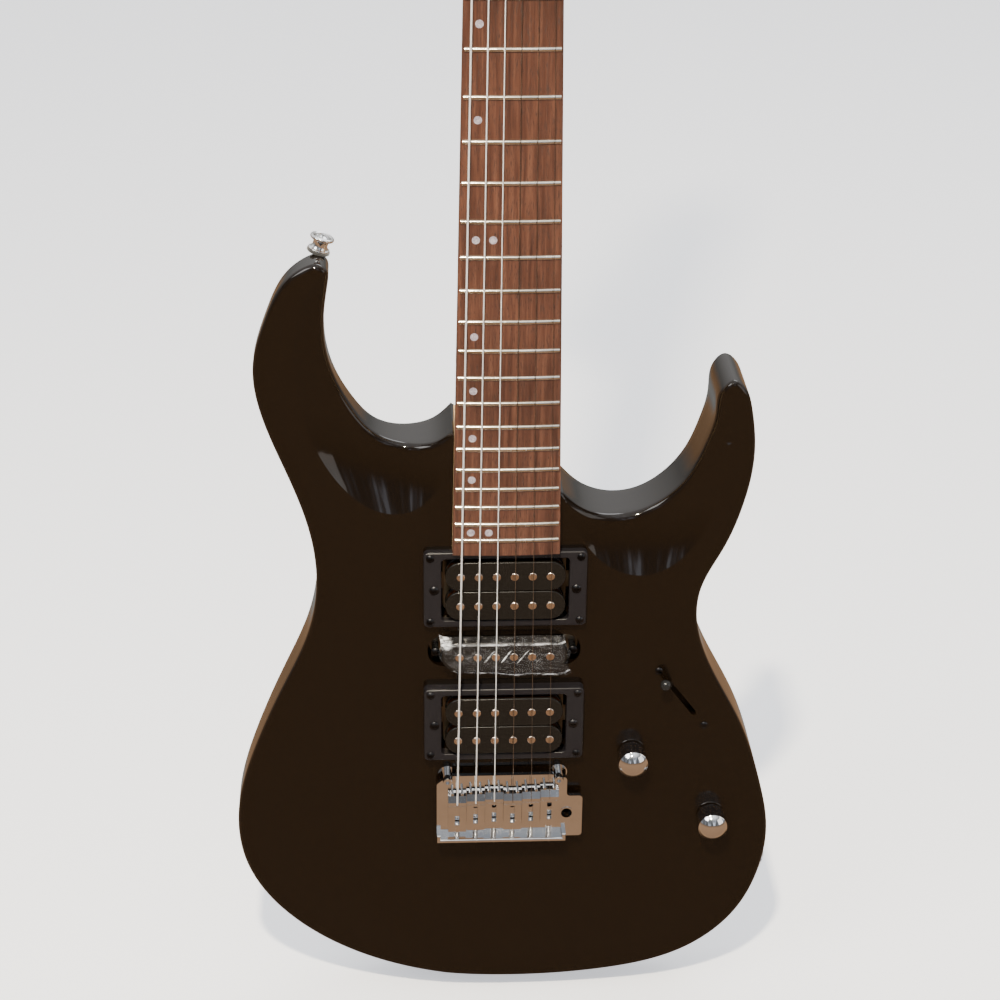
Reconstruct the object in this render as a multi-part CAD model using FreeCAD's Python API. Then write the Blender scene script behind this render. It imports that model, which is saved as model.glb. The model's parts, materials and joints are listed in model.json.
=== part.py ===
import FreeCAD, Part
import math
import os

# Electric guitar: solid body with two carved cutaways, bolt-on neck, two humbuckers round a
# single coil, two-point tremolo and six-in-line head.  Millimetres.  +Z runs up the neck, the
# front faces -Y and +X is the treble side.  The origin is the middle of the waist of the strap
# button at the butt, on the centreline and half way through the body.

V = FreeCAD.Vector
FRONT = V(0, -1, 0)
BACK = V(0, 1, 0)
UP = V(0, 0, 1)
os.makedirs("parts", exist_ok=True)

# ---- driving dimensions ----------------------------------------------------------------
SCALE = 648.0                # nut to saddles
FRETS = 24
NUT_WIDTH = 43.3
HEEL_WIDTH = 58.2            # neck and board at the pickup end
SPREAD_NUT = 36.2            # outer string to outer string
SPREAD_BRIDGE = 52.5
GAUGES = [1.07, 0.81, 0.61, 0.41, 0.33, 0.25]    # bass to treble; the first three are wound
WOUND = 3
STRING_RISE = 2.9            # string over the frets' plane at the saddles
NUT_RISE = 0.5

BODY_THICK = 42.0
BODY_WIDTH = 307.0           # over the lower bout
BUTT_TO_SADDLES = 136.0
EDGE_RADIUS = 3.0
SCOOP_DEPTH = 12.0
FRETS_OVER_BODY = 11.0       # frets' plane over the front of the body

BOARD_THICK = 6.0
BOARD_RADIUS = 400.0
BOARD_OVERHANG = 9.0         # board beyond the last fret
FRET_WIDTH = 2.4
FRET_HEIGHT = 1.0
FRET_INSET = 1.0             # fret ends inside the board's edges
TANG_WIDTH = 0.6
TANG_DEPTH = 1.6
DOT_RADIUS = 2.1
DOT_DEPTH = 1.5
NECK_DEPTH_NUT = 13.0        # wood behind the board
NECK_DEPTH_HEEL = 15.5
POCKET_DEPTH = 16.0
ROD_RADIUS = 3.0
HEAD_DROP = 6.5              # head's face behind the board's top
HEAD_THICK = 14.0
NUT_THICK = 5.0

RING_WALL = 9.75              # frame of a pickup ring beside its opening
RING_LENGTH = 46.0
NECK_RING_HEIGHT = 4.5
BRIDGE_RING_HEIGHT = 6.5
BOBBIN_END = 6.75            # bobbin beyond the outer string
BOBBIN_AIR = 2.0             # bobbin to its ring
BOBBIN_LENGTH = 17.6
BOBBIN_RISE = 2.0            # bobbin over its ring
BRIDGE_PICKUP_FROM_SADDLES = 44.0
MIDDLE_BELOW_NECK_PICKUP = 40.5
SINGLE_END = 8.75            # single coil cover beyond the outer string
SINGLE_LENGTH = 18.0
SINGLE_RISE = 8.0
PICKUP_ROUTE_DEPTH = 20.0
FILM_MARGIN = 3.0
FILM_LENGTH = 29.0

POST_SPACING = 63.3
POST_FROM_SADDLES = 8.0
POST_RADIUS = 2.4
POST_HEAD = 2.6
PLATE_BASS_SHOULDER = 6.15   # plate beyond the middle of a post
PLATE_TREBLE_SHOULDER = 4.85
PLATE_TOP = 7.0              # over the body
PLATE_THICK = 3.0
PLATE_TAIL = 31.0            # behind the saddle line
PLATE_NOSE = 10.6            # in front of the saddle line
SADDLE_WIDTH = 10.3
SADDLE_CREST = 6.4           # over the plate
SCREW_RISE = 2.8             # intonation screws over the plate
SCREW_HOLE = 0.95
SADDLE_TAIL = 20.0           # saddle's flat behind its crest
SADDLE_SLOT = (-15.5, -4.2)
FOOT_RADIUS = 0.8            # height screws of the saddles
FOOT_X = 2.8
LIP_RETURN = 5.0
INTONATION = [-4.0, -3.0, -2.0, -3.0, -2.0, -1.0]
ARM_SETBACK = -15.4          # arm hole from the saddle line
ARM_HOLE_RADIUS = 3.1
ARM_WING = 9.0               # plate's wing beyond its treble edge
ARM_BUSH = 3.9
BLOCK_END = 6.25             # block beyond the outer string
BLOCK_DEEP = 40.0
BLOCK_THICK = 12.0
SPRING_CAVITY_DEPTH = 17.0
SPRING_CAVITY_WIDTH = 84.0
CLAW_SCREW_X = 10.0

KNOBS = {"volume": (73.3, 19.6), "tone": (120.6, -23.7)}
KNOB_RADIUS = 8.3
KNOB_HEIGHT = 17.0
SHAFT_RADIUS = 3.0
CEILING = 7.0                # wood left over the control cavity
SLOT_AT = (100.6, 55.4)
SLOT_TILT = 53.0             # degrees below +X
SLOT_HALF = 13.6
SLOT_WIDTH = 3.0
LEVER_PIVOT = 17.0           # behind the front
LEVER_TILT = 34.0            # from the middle position
LEVER_LENGTH = 34.0
JACK_FROM = (100.0, -30.0)
JACK_AIM = -42.0             # degrees above +X
PLUG_RADIUS = 3.25

POST_FIRST = (-18.5, 32.0)   # first tuner from the middle of the nut
POST_PITCH = 25.0
HEAD_TILT = 15.6             # line of tuners from the centreline
TUNER_POST_RADIUS = 3.0
TUNER_POST_HEIGHT = 14.0

PIN_WASHER = 1.5             # strap buttons
PIN_BASE = 1.5
PIN_WAIST = 4.0
PIN_FLANGE = 2.8
PIN_WAIST_RADIUS = 4.0
PIN_RADIUS = 6.4

TREE_AIR = 0.45              # string trees over their strings

RUNNING = 0.05               # clearance of a shaft in its bore, on the radius
FIT = 0.15                   # clearance round a part seated in wood
AIR = 0.4                    # gap between parts that pass each other

# ---- places that follow ----------------------------------------------------------------
BOBBIN_WIDTH = SPREAD_BRIDGE + 2 * BOBBIN_END
COIL_SPAN = BOBBIN_WIDTH + 2 * BOBBIN_AIR
RING_WIDTH = COIL_SPAN + 2 * RING_WALL
EAR_X = COIL_SPAN / 2 + 4.0          # height screws of the humbuckers
SINGLE_WIDTH = SPREAD_BRIDGE + 2 * SINGLE_END
SINGLE_EAR_X = SINGLE_WIDTH / 2 + 3.2
FILM_WIDTH = SINGLE_WIDTH + 2 * FILM_MARGIN
BLOCK_WIDTH = SPREAD_BRIDGE + 2 * BLOCK_END
PLATE_LEFT = -POST_SPACING / 2 - PLATE_BASS_SHOULDER
PLATE_RIGHT = POST_SPACING / 2 + PLATE_TREBLE_SHOULDER
ARM_AT = (PLATE_RIGHT, ARM_SETBACK)
FACE_Y = -BODY_THICK / 2
REAR_Y = BODY_THICK / 2
BUTT_Z = PIN_WASHER + PIN_BASE + PIN_WAIST / 2
SADDLES_Z = BUTT_Z + BUTT_TO_SADDLES
NUT_Z = SADDLES_Z + SCALE
HEEL_Z = SADDLES_Z + SCALE / 2 ** (FRETS / 12) - BOARD_OVERHANG
FRET_Y = FACE_Y - FRETS_OVER_BODY
BOARD_Y = FRET_Y + FRET_HEIGHT
NECK_Y = BOARD_Y + BOARD_THICK
POCKET_Y = FACE_Y + POCKET_DEPTH
HEAD_FACE_Y = BOARD_Y + HEAD_DROP
HEAD_BACK_Y = HEAD_FACE_Y + HEAD_THICK
NECK_PICKUP_Z = HEEL_Z - 1.0 - RING_LENGTH / 2
MIDDLE_PICKUP_Z = NECK_PICKUP_Z - MIDDLE_BELOW_NECK_PICKUP
BRIDGE_PICKUP_Z = SADDLES_Z + BRIDGE_PICKUP_FROM_SADDLES
PICKUPS = {"neck": (NECK_PICKUP_Z, NECK_RING_HEIGHT), "bridge": (BRIDGE_PICKUP_Z, BRIDGE_RING_HEIGHT)}
POST_Z = SADDLES_Z + POST_FROM_SADDLES
PIVOT_Z = POST_Z - POST_RADIUS
PLATE_Y = FACE_Y - PLATE_TOP
PIVOT_Y = PLATE_Y + PLATE_THICK / 2
STRING_HOLE_Z = SADDLES_Z - 9.5
BLOCK_Y = PLATE_Y + PLATE_THICK
CEILING_Y = FACE_Y + CEILING
SPRING_Y = BLOCK_Y + BLOCK_DEEP - 6.0
SPRING_FLOOR_Y = REAR_Y - SPRING_CAVITY_DEPTH
CLAW_Z = SADDLES_Z + 96.0
COVER_THICK = 2.2

# The outline, as (x, height over the heel of the neck or over the saddle line).
BASS_CUTAWAY = [(-28.7, 69), (-39, 60.3), (-53, 58), (-69, 63.5), (-82, 79), (-91, 97),
                (-95.8, 118), (-95.4, 138), (-93.3, 153), (-93.6, 160), (-98, 163.8),
                (-105, 162.6), (-114.8, 155.8), (-126, 135), (-133.6, 107), (-129.5, 77),
                (-119, 48), (-107, 12)]
LOWER_BOUT = [(-103.2, 134), (-108, 102), (-123, 67), (-140, 27), (-150, -8), (-151.5, -30),
              (-147, -56), (-131, -84), (-96, -113), (-52, -130), (5, -136), (62, -132.5),
              (109, -119), (139, -92), (152, -60), (154.5, -35), (149, -4), (135, 38),
              (115, 78), (107.2, 108)]
TREBLE_CUTAWAY = [(109, -28), (120, -4), (129, 21), (134, 53), (131, 81), (126.5, 92.5),
                  (120.5, 96.5), (114.3, 91.5), (112, 76), (108, 58), (100.3, 39.4),
                  (89, 25.5), (73.4, 16), (58, 14.5), (43, 20), (31, 31.6)]
DRAWN_WIDTH = 307.0
# Carved scoops: middle (x, over the heel), half width, half length, lean in degrees.
SCOOPS = [((-70.0, 93.0), 40.3, 73.3, 11.8), ((73.2, 61.0), 45.8, 79.8, 1.4)]


# ---- tools -----------------------------------------------------------------------------
def box(x0, x1, y0, y1, z0, z1):
    return Part.makeBox(x1 - x0, y1 - y0, z1 - z0, V(x0, y0, z0))


def rod(start, end, radius):
    axis = end - start
    return Part.makeCylinder(radius, axis.Length, start, axis)


def tube(start, end, outer, inner):
    return rod(start, end, outer).cut(rod(start, end, inner))


def prism(points, y0, y1, corner=0.0):
    """A polygon of (x, z) points carried from y0 to y1, its long edges rounded."""
    corners = [V(x, y0, z) for x, z in points]
    solid = Part.Face(Part.makePolygon(corners + corners[:1])).extrude(V(0, y1 - y0, 0))
    if corner:
        along = [e for e in solid.Edges if abs(e.tangentAt(e.FirstParameter).y) > 0.99]
        solid = solid.makeFillet(corner, along)
    return solid


def slab(x, z, width, length, y0, y1, corner):
    """A rectangle round (x, z) with rounded corners, carried from y0 to y1."""
    w, h = width / 2, length / 2
    return prism([(x - w, z - h), (x + w, z - h), (x + w, z + h), (x - w, z + h)], y0, y1, corner)


def lathe(profile, base, axis, dome=False):
    """(radius, height) points turned about axis through base; with dome, the last stretch is
    a cap of a ball centred on the axis."""
    points = [V(r, 0, h) for r, h in profile]
    edges = [Part.makeLine(a, b) for a, b in zip(points, points[1:])]
    if dome:
        (rim, low), (_, high) = profile[-2:]
        centre = (high ** 2 - low ** 2 - rim ** 2) / (2 * (high - low))
        half = math.atan2(rim, low - centre) / 2
        crown = V((high - centre) * math.sin(half), 0, centre + (high - centre) * math.cos(half))
        edges[-1] = Part.Arc(points[-2], crown, points[-1]).toShape()
    edges.append(Part.makeLine(points[-1], points[0]))
    solid = Part.Face(Part.Wire(edges)).revolve(V(0, 0, 0), UP, 360)
    solid.Placement = FreeCAD.Placement(base, FreeCAD.Rotation(UP, axis))
    return solid


def screw(base, axis, head=2.2, rise=1.2, shank=1.4, length=12.0):
    """A domed cross-head screw whose head sits on base and stands along axis."""
    solid = lathe([(0, -length), (shank, -length + shank), (shank, 0), (head, 0),
                   (head, 0.3 * rise), (0, rise)], base, axis, dome=True)
    for wide, deep in ((0.55 * head, 0.11 * head), (0.11 * head, 0.55 * head)):
        cross = Part.makeBox(2 * wide, 2 * deep, rise, V(-wide, -deep, 0.35 * rise))
        cross.Placement = FreeCAD.Placement(base, FreeCAD.Rotation(UP, axis))
        solid = solid.cut(cross)
    return solid


def joined(shapes):
    return shapes[0].fuse(shapes[1:]) if len(shapes) > 1 else shapes[0]


def save(name, shapes):
    shapes = shapes if isinstance(shapes, list) else [shapes]
    shape = shapes[0] if len(shapes) == 1 else Part.makeCompound(shapes)
    print(f"{name:26s} solids {len(shape.Solids):3d}  valid {shape.isValid()}")
    shape.exportStep(f"parts/{name}.step")


def at(place, y):
    """A point given as (x, over the saddle line) at depth y."""
    return V(place[0], y, SADDLES_Z + place[1])


def neck_half(z):
    return (HEEL_WIDTH + (NUT_WIDTH - HEEL_WIDTH) * (z - HEEL_Z) / (NUT_Z - HEEL_Z)) / 2


def fret_z(number):
    return SADDLES_Z + SCALE / 2 ** (number / 12)


def string_x(index, z):
    spread = SPREAD_BRIDGE + (SPREAD_NUT - SPREAD_BRIDGE) * (z - SADDLES_Z) / SCALE
    return spread * (index / 5 - 0.5)


def board_arc(y, x):
    """Depth at x of a surface that follows the board's radius and is at y on the centreline."""
    return y + BOARD_RADIUS - math.sqrt(BOARD_RADIUS ** 2 - x ** 2)


# ---- body ------------------------------------------------------------------------------
def outline_points():
    rows = [(p, HEEL_Z) for p in BASS_CUTAWAY] + [(p, SADDLES_Z) for p in LOWER_BOUT]
    rows += [(p, HEEL_Z) for p in TREBLE_CUTAWAY]
    return [V(x * BODY_WIDTH / DRAWN_WIDTH, FACE_Y, z + base) for (x, z), base in rows]


def outline_edge():
    curve = Part.BSplineCurve()
    curve.interpolate(outline_points())
    return curve.toShape()


def scoop(middle, half_width, half_length, lean):
    """A flattened ball that meets the front in an ellipse and reaches SCOOP_DEPTH below it."""
    section = 0.8            # the ellipse's share of the ball's own half axes
    deep = SCOOP_DEPTH / (1 - math.sqrt(1 - section ** 2))
    ball = Part.makeSphere(1.0)
    stretch = FreeCAD.Matrix()
    stretch.scale(half_width / section, deep, half_length / section)
    ball = ball.transformGeometry(stretch)
    ball.rotate(V(0, 0, 0), BACK, -lean)
    ball.translate(V(middle[0] * BODY_WIDTH / DRAWN_WIDTH, FACE_Y + SCOOP_DEPTH - deep,
                     HEEL_Z + middle[1]))
    return ball


def tilted_cut(low, high, y, slope):
    """A wedge that leaves the face at y along the line low-high and falls towards the bass
    edge by slope degrees."""
    a, b = at(low, y), at(high, y)
    along = (b - a).normalize()
    out = along.cross(BACK)
    front = y < 0
    wedge = Part.makeBox(500, 200, 300, V(-250, -200 if front else 0, 0))
    wedge.rotate(V(0, 0, 0), V(1, 0, 0), -slope if front else slope)
    middle = (a + b) * 0.5
    wedge.Placement = FreeCAD.Placement(
        FreeCAD.Matrix(along.x, 0, out.x, middle.x, 0, 1, 0, y,
                       along.z, 0, out.z, middle.z, 0, 0, 0, 1)).multiply(wedge.Placement)
    return wedge


def control_cavity(y0, y1, grow=0.0):
    """The cavity round the pots and the selector, or its cover's seat when grown."""
    volume, tone = KNOBS["volume"], KNOBS["tone"]
    points = [(volume[0] - 16, volume[1] - 16), (tone[0] - 16, tone[1] - 22),
              (tone[0] + 12, tone[1] - 16), (tone[0] + 16, tone[1] + 16),
              (SLOT_AT[0] + 26, SLOT_AT[1] - 24), (SLOT_AT[0] + 1, SLOT_AT[1] + 26),
              (SLOT_AT[0] - 22, SLOT_AT[1] + 26), (volume[0] - 16, volume[1] + 16)]
    wire = Part.makePolygon([at(p, y0) for p in points + points[:1]])
    if grow:
        wire = wire.makeOffset2D(grow)
    solid = Part.Face(wire).extrude(V(0, y1 - y0, 0))
    if not grow:
        along = [e for e in solid.Edges if abs(e.tangentAt(e.FirstParameter).y) > 0.99]
        solid = solid.makeFillet(6.0, along)
    return solid


def jack_place():
    """Where the jack's line meets the side of the body, and its direction."""
    angle = math.radians(JACK_AIM)
    aim = V(math.cos(angle), 0, math.sin(angle))
    start = at(JACK_FROM, FACE_Y)
    ray = Part.makeLine(start, start + aim * 200)
    _, pairs, _ = outline_edge().distToShape(ray)
    return V(pairs[0][0].x, 0, pairs[0][0].z), aim


def neck_plan(y0, y1, z0, z1, grow=0.0):
    """The neck's tapering plan between two heights."""
    return prism([(-neck_half(z0) - grow, z0), (neck_half(z0) + grow, z0),
                  (neck_half(z1) + grow, z1), (-neck_half(z1) - grow, z1)], y0, y1)


def make_body():
    edge = outline_edge()
    ends = edge.Vertexes
    mouth = Part.makeLine(ends[1].Point, ends[0].Point)
    solid = Part.Face(Part.Wire([edge, mouth])).extrude(V(0, BODY_THICK, 0))
    rims = [e for e in solid.Edges if e.Length > 500]
    solid = solid.makeFillet(EDGE_RADIUS, rims)
    cuts = [scoop(*row) for row in SCOOPS]
    cuts.append(tilted_cut((-33.5, -131.0), (-104.0, -35.0), FACE_Y, 6.0))
    cuts.append(tilted_cut((-86.0, 0.0), (-60.0, 130.0), REAR_Y, 16.0))
    cuts.append(neck_plan(FACE_Y - 5, POCKET_Y, HEEL_Z - FIT, HEEL_Z + 120, FIT))
    for z, height in PICKUPS.values():
        cuts.append(slab(0, z, COIL_SPAN + 1, 39.0, FACE_Y - 5, FACE_Y + PICKUP_ROUTE_DEPTH, 4))
        cuts.append(slab(0, z, RING_WIDTH - 7, 14.0, FACE_Y - 5, FACE_Y + PICKUP_ROUTE_DEPTH, 3))
    cuts.append(slab(0, MIDDLE_PICKUP_Z, SINGLE_WIDTH + 15, SINGLE_LENGTH + 1.4, FACE_Y - 5,
                     FACE_Y + PICKUP_ROUTE_DEPTH, 9))
    cuts.append(rod(V(10, FACE_Y + 16, BRIDGE_PICKUP_Z), V(10, FACE_Y + 16, NECK_PICKUP_Z), 3))
    cuts.append(rod(V(20, FACE_Y + 16, BRIDGE_PICKUP_Z), at(KNOBS["volume"], FACE_Y + 16), 3))
    # tremolo: slot right through, and the spring cavity behind it
    cuts.append(box(-BLOCK_WIDTH / 2 - 2, BLOCK_WIDTH / 2 + 2, FACE_Y - 5, REAR_Y + 5,
                    SADDLES_Z - 27, SADDLES_Z + 2))
    half = SPRING_CAVITY_WIDTH / 2
    cuts.append(box(-half, half, SPRING_FLOOR_Y, REAR_Y + 5, SADDLES_Z - 27, CLAW_Z + 14))
    cuts.append(spring_cover_seat(FIT, REAR_Y + 5))
    for side in (-1, 1):
        post = V(side * POST_SPACING / 2, FACE_Y - 5, POST_Z)
        cuts.append(rod(post, post + BACK * 27, POST_RADIUS + 2))
        start = V(side * CLAW_SCREW_X, SPRING_Y, CLAW_Z)
        cuts.append(rod(start, start + UP * 45, 1.75))
    # controls
    cuts.append(control_cavity(CEILING_Y, REAR_Y + 5))
    cuts.append(control_cavity(REAR_Y - COVER_THICK, REAR_Y + 5, 5.0 + FIT))
    for place in KNOBS.values():
        cuts.append(rod(at(place, FACE_Y - 5), at(place, CEILING_Y + 1), 4.8))
    cuts.append(slot_slab(SLOT_HALF, SLOT_WIDTH, FACE_Y - 5, CEILING_Y + 1))
    point, aim = jack_place()
    cuts.append(rod(point + aim * 20, point - aim * 2.5, 14 + FIT))
    cuts.append(rod(point, point - aim * 34, 10.5))
    # screw holes
    for base, axis, length in small_screws():
        cuts.append(rod(base + axis, base - axis * length, 1.4))
    for base, axis in strap_pins():
        cuts.append(rod(base + axis * 9, base - axis * 26, 2.2))
        cuts.append(rod(base + axis * 9, base, PIN_RADIUS + 1.2 + AIR))
    for place in NECK_SCREWS:
        cuts.append(rod(neck_screw_base(place) + BACK, neck_screw_base(place) + FRONT * 60, 2.4))
        cuts.append(rod(neck_screw_base(place) + BACK * 9, neck_screw_base(place) + FRONT * 3, 7 + FIT))
    for x, y, z in height_screw_places():
        cuts.append(rod(V(x, y, z), V(x, FACE_Y + PICKUP_ROUTE_DEPTH, z), 2.0))
    for cut in cuts:
        solid = solid.cut(cut)
    save("body", max(solid.Solids, key=lambda s: s.Volume))


# ---- neck ------------------------------------------------------------------------------
NECK_SCREWS = [(-18, 14), (18, 14), (-18, 50), (9, 27)]    # (x, over the heel)


def neck_screw_base(place):
    return V(place[0], REAR_Y, HEEL_Z + place[1])


def neck_section(z, depth, square):
    """Flat front and a rounded back; a higher square makes the back boxier."""
    half = neck_half(z)
    arc = []
    for step in range(13):
        a = math.pi * step / 12
        c, s = math.cos(a), math.sin(a)
        arc.append(V(math.copysign(abs(c) ** (2 / square), c) * half,
                     NECK_Y + depth * abs(s) ** (2 / square), z))
    back = Part.BSplineCurve()
    back.interpolate(arc)
    return Part.Wire([back.toShape(), Part.makeLine(arc[-1], arc[0])])


def head_outline():
    """Head plan from the nut: (x, over the nut) along its edge."""
    treble = [(NUT_WIDTH / 2, 0), (22.5, 16), (25.5, 60), (28.5, 120), (30.5, 158)]
    tip = [(29, 172), (21, 182), (9, 181), (0.5, 170)]
    bass = [(-20, 98), (-40.5, 26), (-38.5, 17), (-30, 10), (-NUT_WIDTH / 2, 0)]

    def path(points):
        curve = Part.BSplineCurve()
        curve.interpolate([V(x, HEAD_FACE_Y, NUT_Z + z) for x, z in points])
        return curve.toShape()
    corner = [V(x, HEAD_FACE_Y, NUT_Z + z) for x, z in (bass[-1], treble[0])]
    edges = [path(treble), path([treble[-1]] + tip), Part.makeLine(
        V(tip[-1][0], HEAD_FACE_Y, NUT_Z + tip[-1][1]), V(bass[1][0], HEAD_FACE_Y, NUT_Z + bass[1][1])),
        path(bass[1:]), Part.makeLine(*corner)]
    return Part.Wire(edges)


def tuner_frame(index):
    """Point on the head's face under a tuner post, and the placement of that tuner."""
    a = math.radians(HEAD_TILT)
    step = index * POST_PITCH
    point = V(POST_FIRST[0] + step * math.sin(a), HEAD_FACE_Y,
              NUT_Z + POST_FIRST[1] + step * math.cos(a))
    return point, FreeCAD.Placement(point, FreeCAD.Rotation(BACK, 180 + HEAD_TILT))


def make_neck():
    ramp_z = HEEL_Z + 78
    shaft_z = HEEL_Z + 112
    heel = neck_plan(NECK_Y, POCKET_Y, HEEL_Z, ramp_z)
    ramp = Part.makeLoft([neck_section(ramp_z, POCKET_Y - NECK_Y, 9.0),
                          neck_section(shaft_z, NECK_DEPTH_HEEL, 2.4)], True, True)
    shaft = Part.makeLoft([neck_section(shaft_z, NECK_DEPTH_HEEL, 2.4),
                           neck_section(NUT_Z, NECK_DEPTH_NUT, 2.4)], True, True)
    head = Part.Face(head_outline()).extrude(V(0, HEAD_THICK, 0))
    volute = Part.makeLoft([neck_section(NUT_Z - 6, NECK_DEPTH_NUT, 2.4),
                            neck_section(NUT_Z, HEAD_BACK_Y - NECK_Y, 3.0)], True, True)
    shelf = box(-NUT_WIDTH / 2, NUT_WIDTH / 2, NECK_Y, HEAD_FACE_Y + 4, NUT_Z - 1, NUT_Z + NUT_THICK)
    neck = joined([heel, ramp, shaft, volute, head, shelf])
    rod_y = NECK_Y + 4.6
    neck = neck.cut(rod(V(0, rod_y, HEEL_Z + 12), V(0, rod_y, NUT_Z + 14), ROD_RADIUS + RUNNING))
    neck = neck.cut(slab(0, NUT_Z + 21, 11, 26, HEAD_FACE_Y - 1, HEAD_FACE_Y + 8, 4))
    neck = neck.cut(box(-30, 30, NECK_Y - 9, NECK_Y, HEEL_Z - 5, NUT_Z + NUT_THICK))
    for place in NECK_SCREWS:
        base = neck_screw_base(place)
        neck = neck.cut(rod(base, V(base.x, POCKET_Y - 15, base.z), 2.25))
    for index in range(6):
        point, _ = tuner_frame(index)
        neck = neck.cut(rod(point + FRONT, point + BACK * (HEAD_THICK + 1), 5.0))
    for base, axis, length in head_screws():
        neck = neck.cut(rod(base, base - axis * length, 1.0))
    for base, axis, length in cover_screws():
        neck = neck.cut(rod(base, base - axis * length, 1.4))
    save("neck", neck)
    save("truss_rod", [rod(V(0, rod_y, HEEL_Z + 14), V(0, rod_y, NUT_Z + 12), ROD_RADIUS)])


def cover_screws():
    """Truss rod cover: base of the head, axis and length."""
    y = HEAD_FACE_Y - 1.6
    return [(V(x, y, NUT_Z + z), FRONT, 8.0) for x, z in ((-7.5, 10), (7.5, 10), (0, 38))]


def head_screws():
    """Small bright screws: one beside each tuner."""
    rows = []
    for index in range(6):
        point, frame = tuner_frame(index)
        rows.append((frame.multVec(V(-7.0, HEAD_THICK + 2.0, 0)), BACK, 10.0))
    return rows


def make_board():
    depth = BOARD_RADIUS
    round_top = Part.makeCylinder(depth, NUT_Z - HEEL_Z, V(0, BOARD_Y + depth, HEEL_Z), UP)
    board = neck_plan(BOARD_Y - 1, NECK_Y, HEEL_Z, NUT_Z).common(round_top)
    centre = V(0, BOARD_Y + depth, 0)
    frets, dots, slots = [], [], []
    for number in range(1, FRETS + 1):
        z = fret_z(number)
        half, r = FRET_WIDTH / 2, BOARD_RADIUS
        swing = math.degrees(math.asin((neck_half(z) - FRET_INSET) / r))
        crown = [V(0, BOARD_Y, z - half), V(0, BOARD_Y - FRET_HEIGHT, z), V(0, BOARD_Y, z + half)]
        foot = [V(0, BOARD_Y, z + TANG_WIDTH / 2), V(0, BOARD_Y + TANG_DEPTH, z + TANG_WIDTH / 2),
                V(0, BOARD_Y + TANG_DEPTH, z - TANG_WIDTH / 2), V(0, BOARD_Y, z - TANG_WIDTH / 2)]
        tang = Part.Face(Part.makePolygon(foot + foot[:1]))
        tang.rotate(centre, UP, -swing)
        slots.append(tang.revolve(centre, UP, 2 * swing))
        edges = [Part.Arc(*crown).toShape(), Part.makeLine(crown[2], foot[0])]
        edges += [Part.makeLine(a, b) for a, b in zip(foot, foot[1:])]
        edges.append(Part.makeLine(foot[-1], crown[0]))
        face = Part.Face(Part.Wire(edges))
        face.rotate(centre, UP, -swing)
        frets.append(face.revolve(centre, UP, 2 * swing))
    for number in (3, 5, 7, 9, 12, 15, 17, 19, 21, 24):
        z = (fret_z(number) + fret_z(number - 1)) / 2
        for gap in ((0, 1) if number % 12 == 0 else (0,)):
            x = (string_x(gap, z) + string_x(gap + 1, z)) / 2
            y = board_arc(BOARD_Y, x)
            dots.append(rod(V(x, y, z), V(x, y + DOT_DEPTH, z), DOT_RADIUS))
    for cut in slots + dots:
        board = board.cut(cut)
    tops = [rod(d.CenterOfMass + FRONT * 3, d.CenterOfMass, DOT_RADIUS) for d in dots]
    for cut in tops:
        board = board.cut(cut)
    save("fingerboard", board)
    save("frets", frets)
    save("position_dots", dots)


def make_nut():
    top = FRET_Y - NUT_RISE - GAUGES[0] / 2
    nut = box(-NUT_WIDTH / 2, NUT_WIDTH / 2, top, NECK_Y, NUT_Z, NUT_Z + NUT_THICK)
    for index, gauge in enumerate(GAUGES):
        x = string_x(index, NUT_Z)
        y = nut_string_y(index)
        nut = nut.cut(box(x - gauge / 2 - 0.05, x + gauge / 2 + 0.05, top - 1, y + gauge / 2 + 0.12,
                          NUT_Z - 1, NUT_Z + NUT_THICK + 1))
    save("nut", nut)


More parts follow.
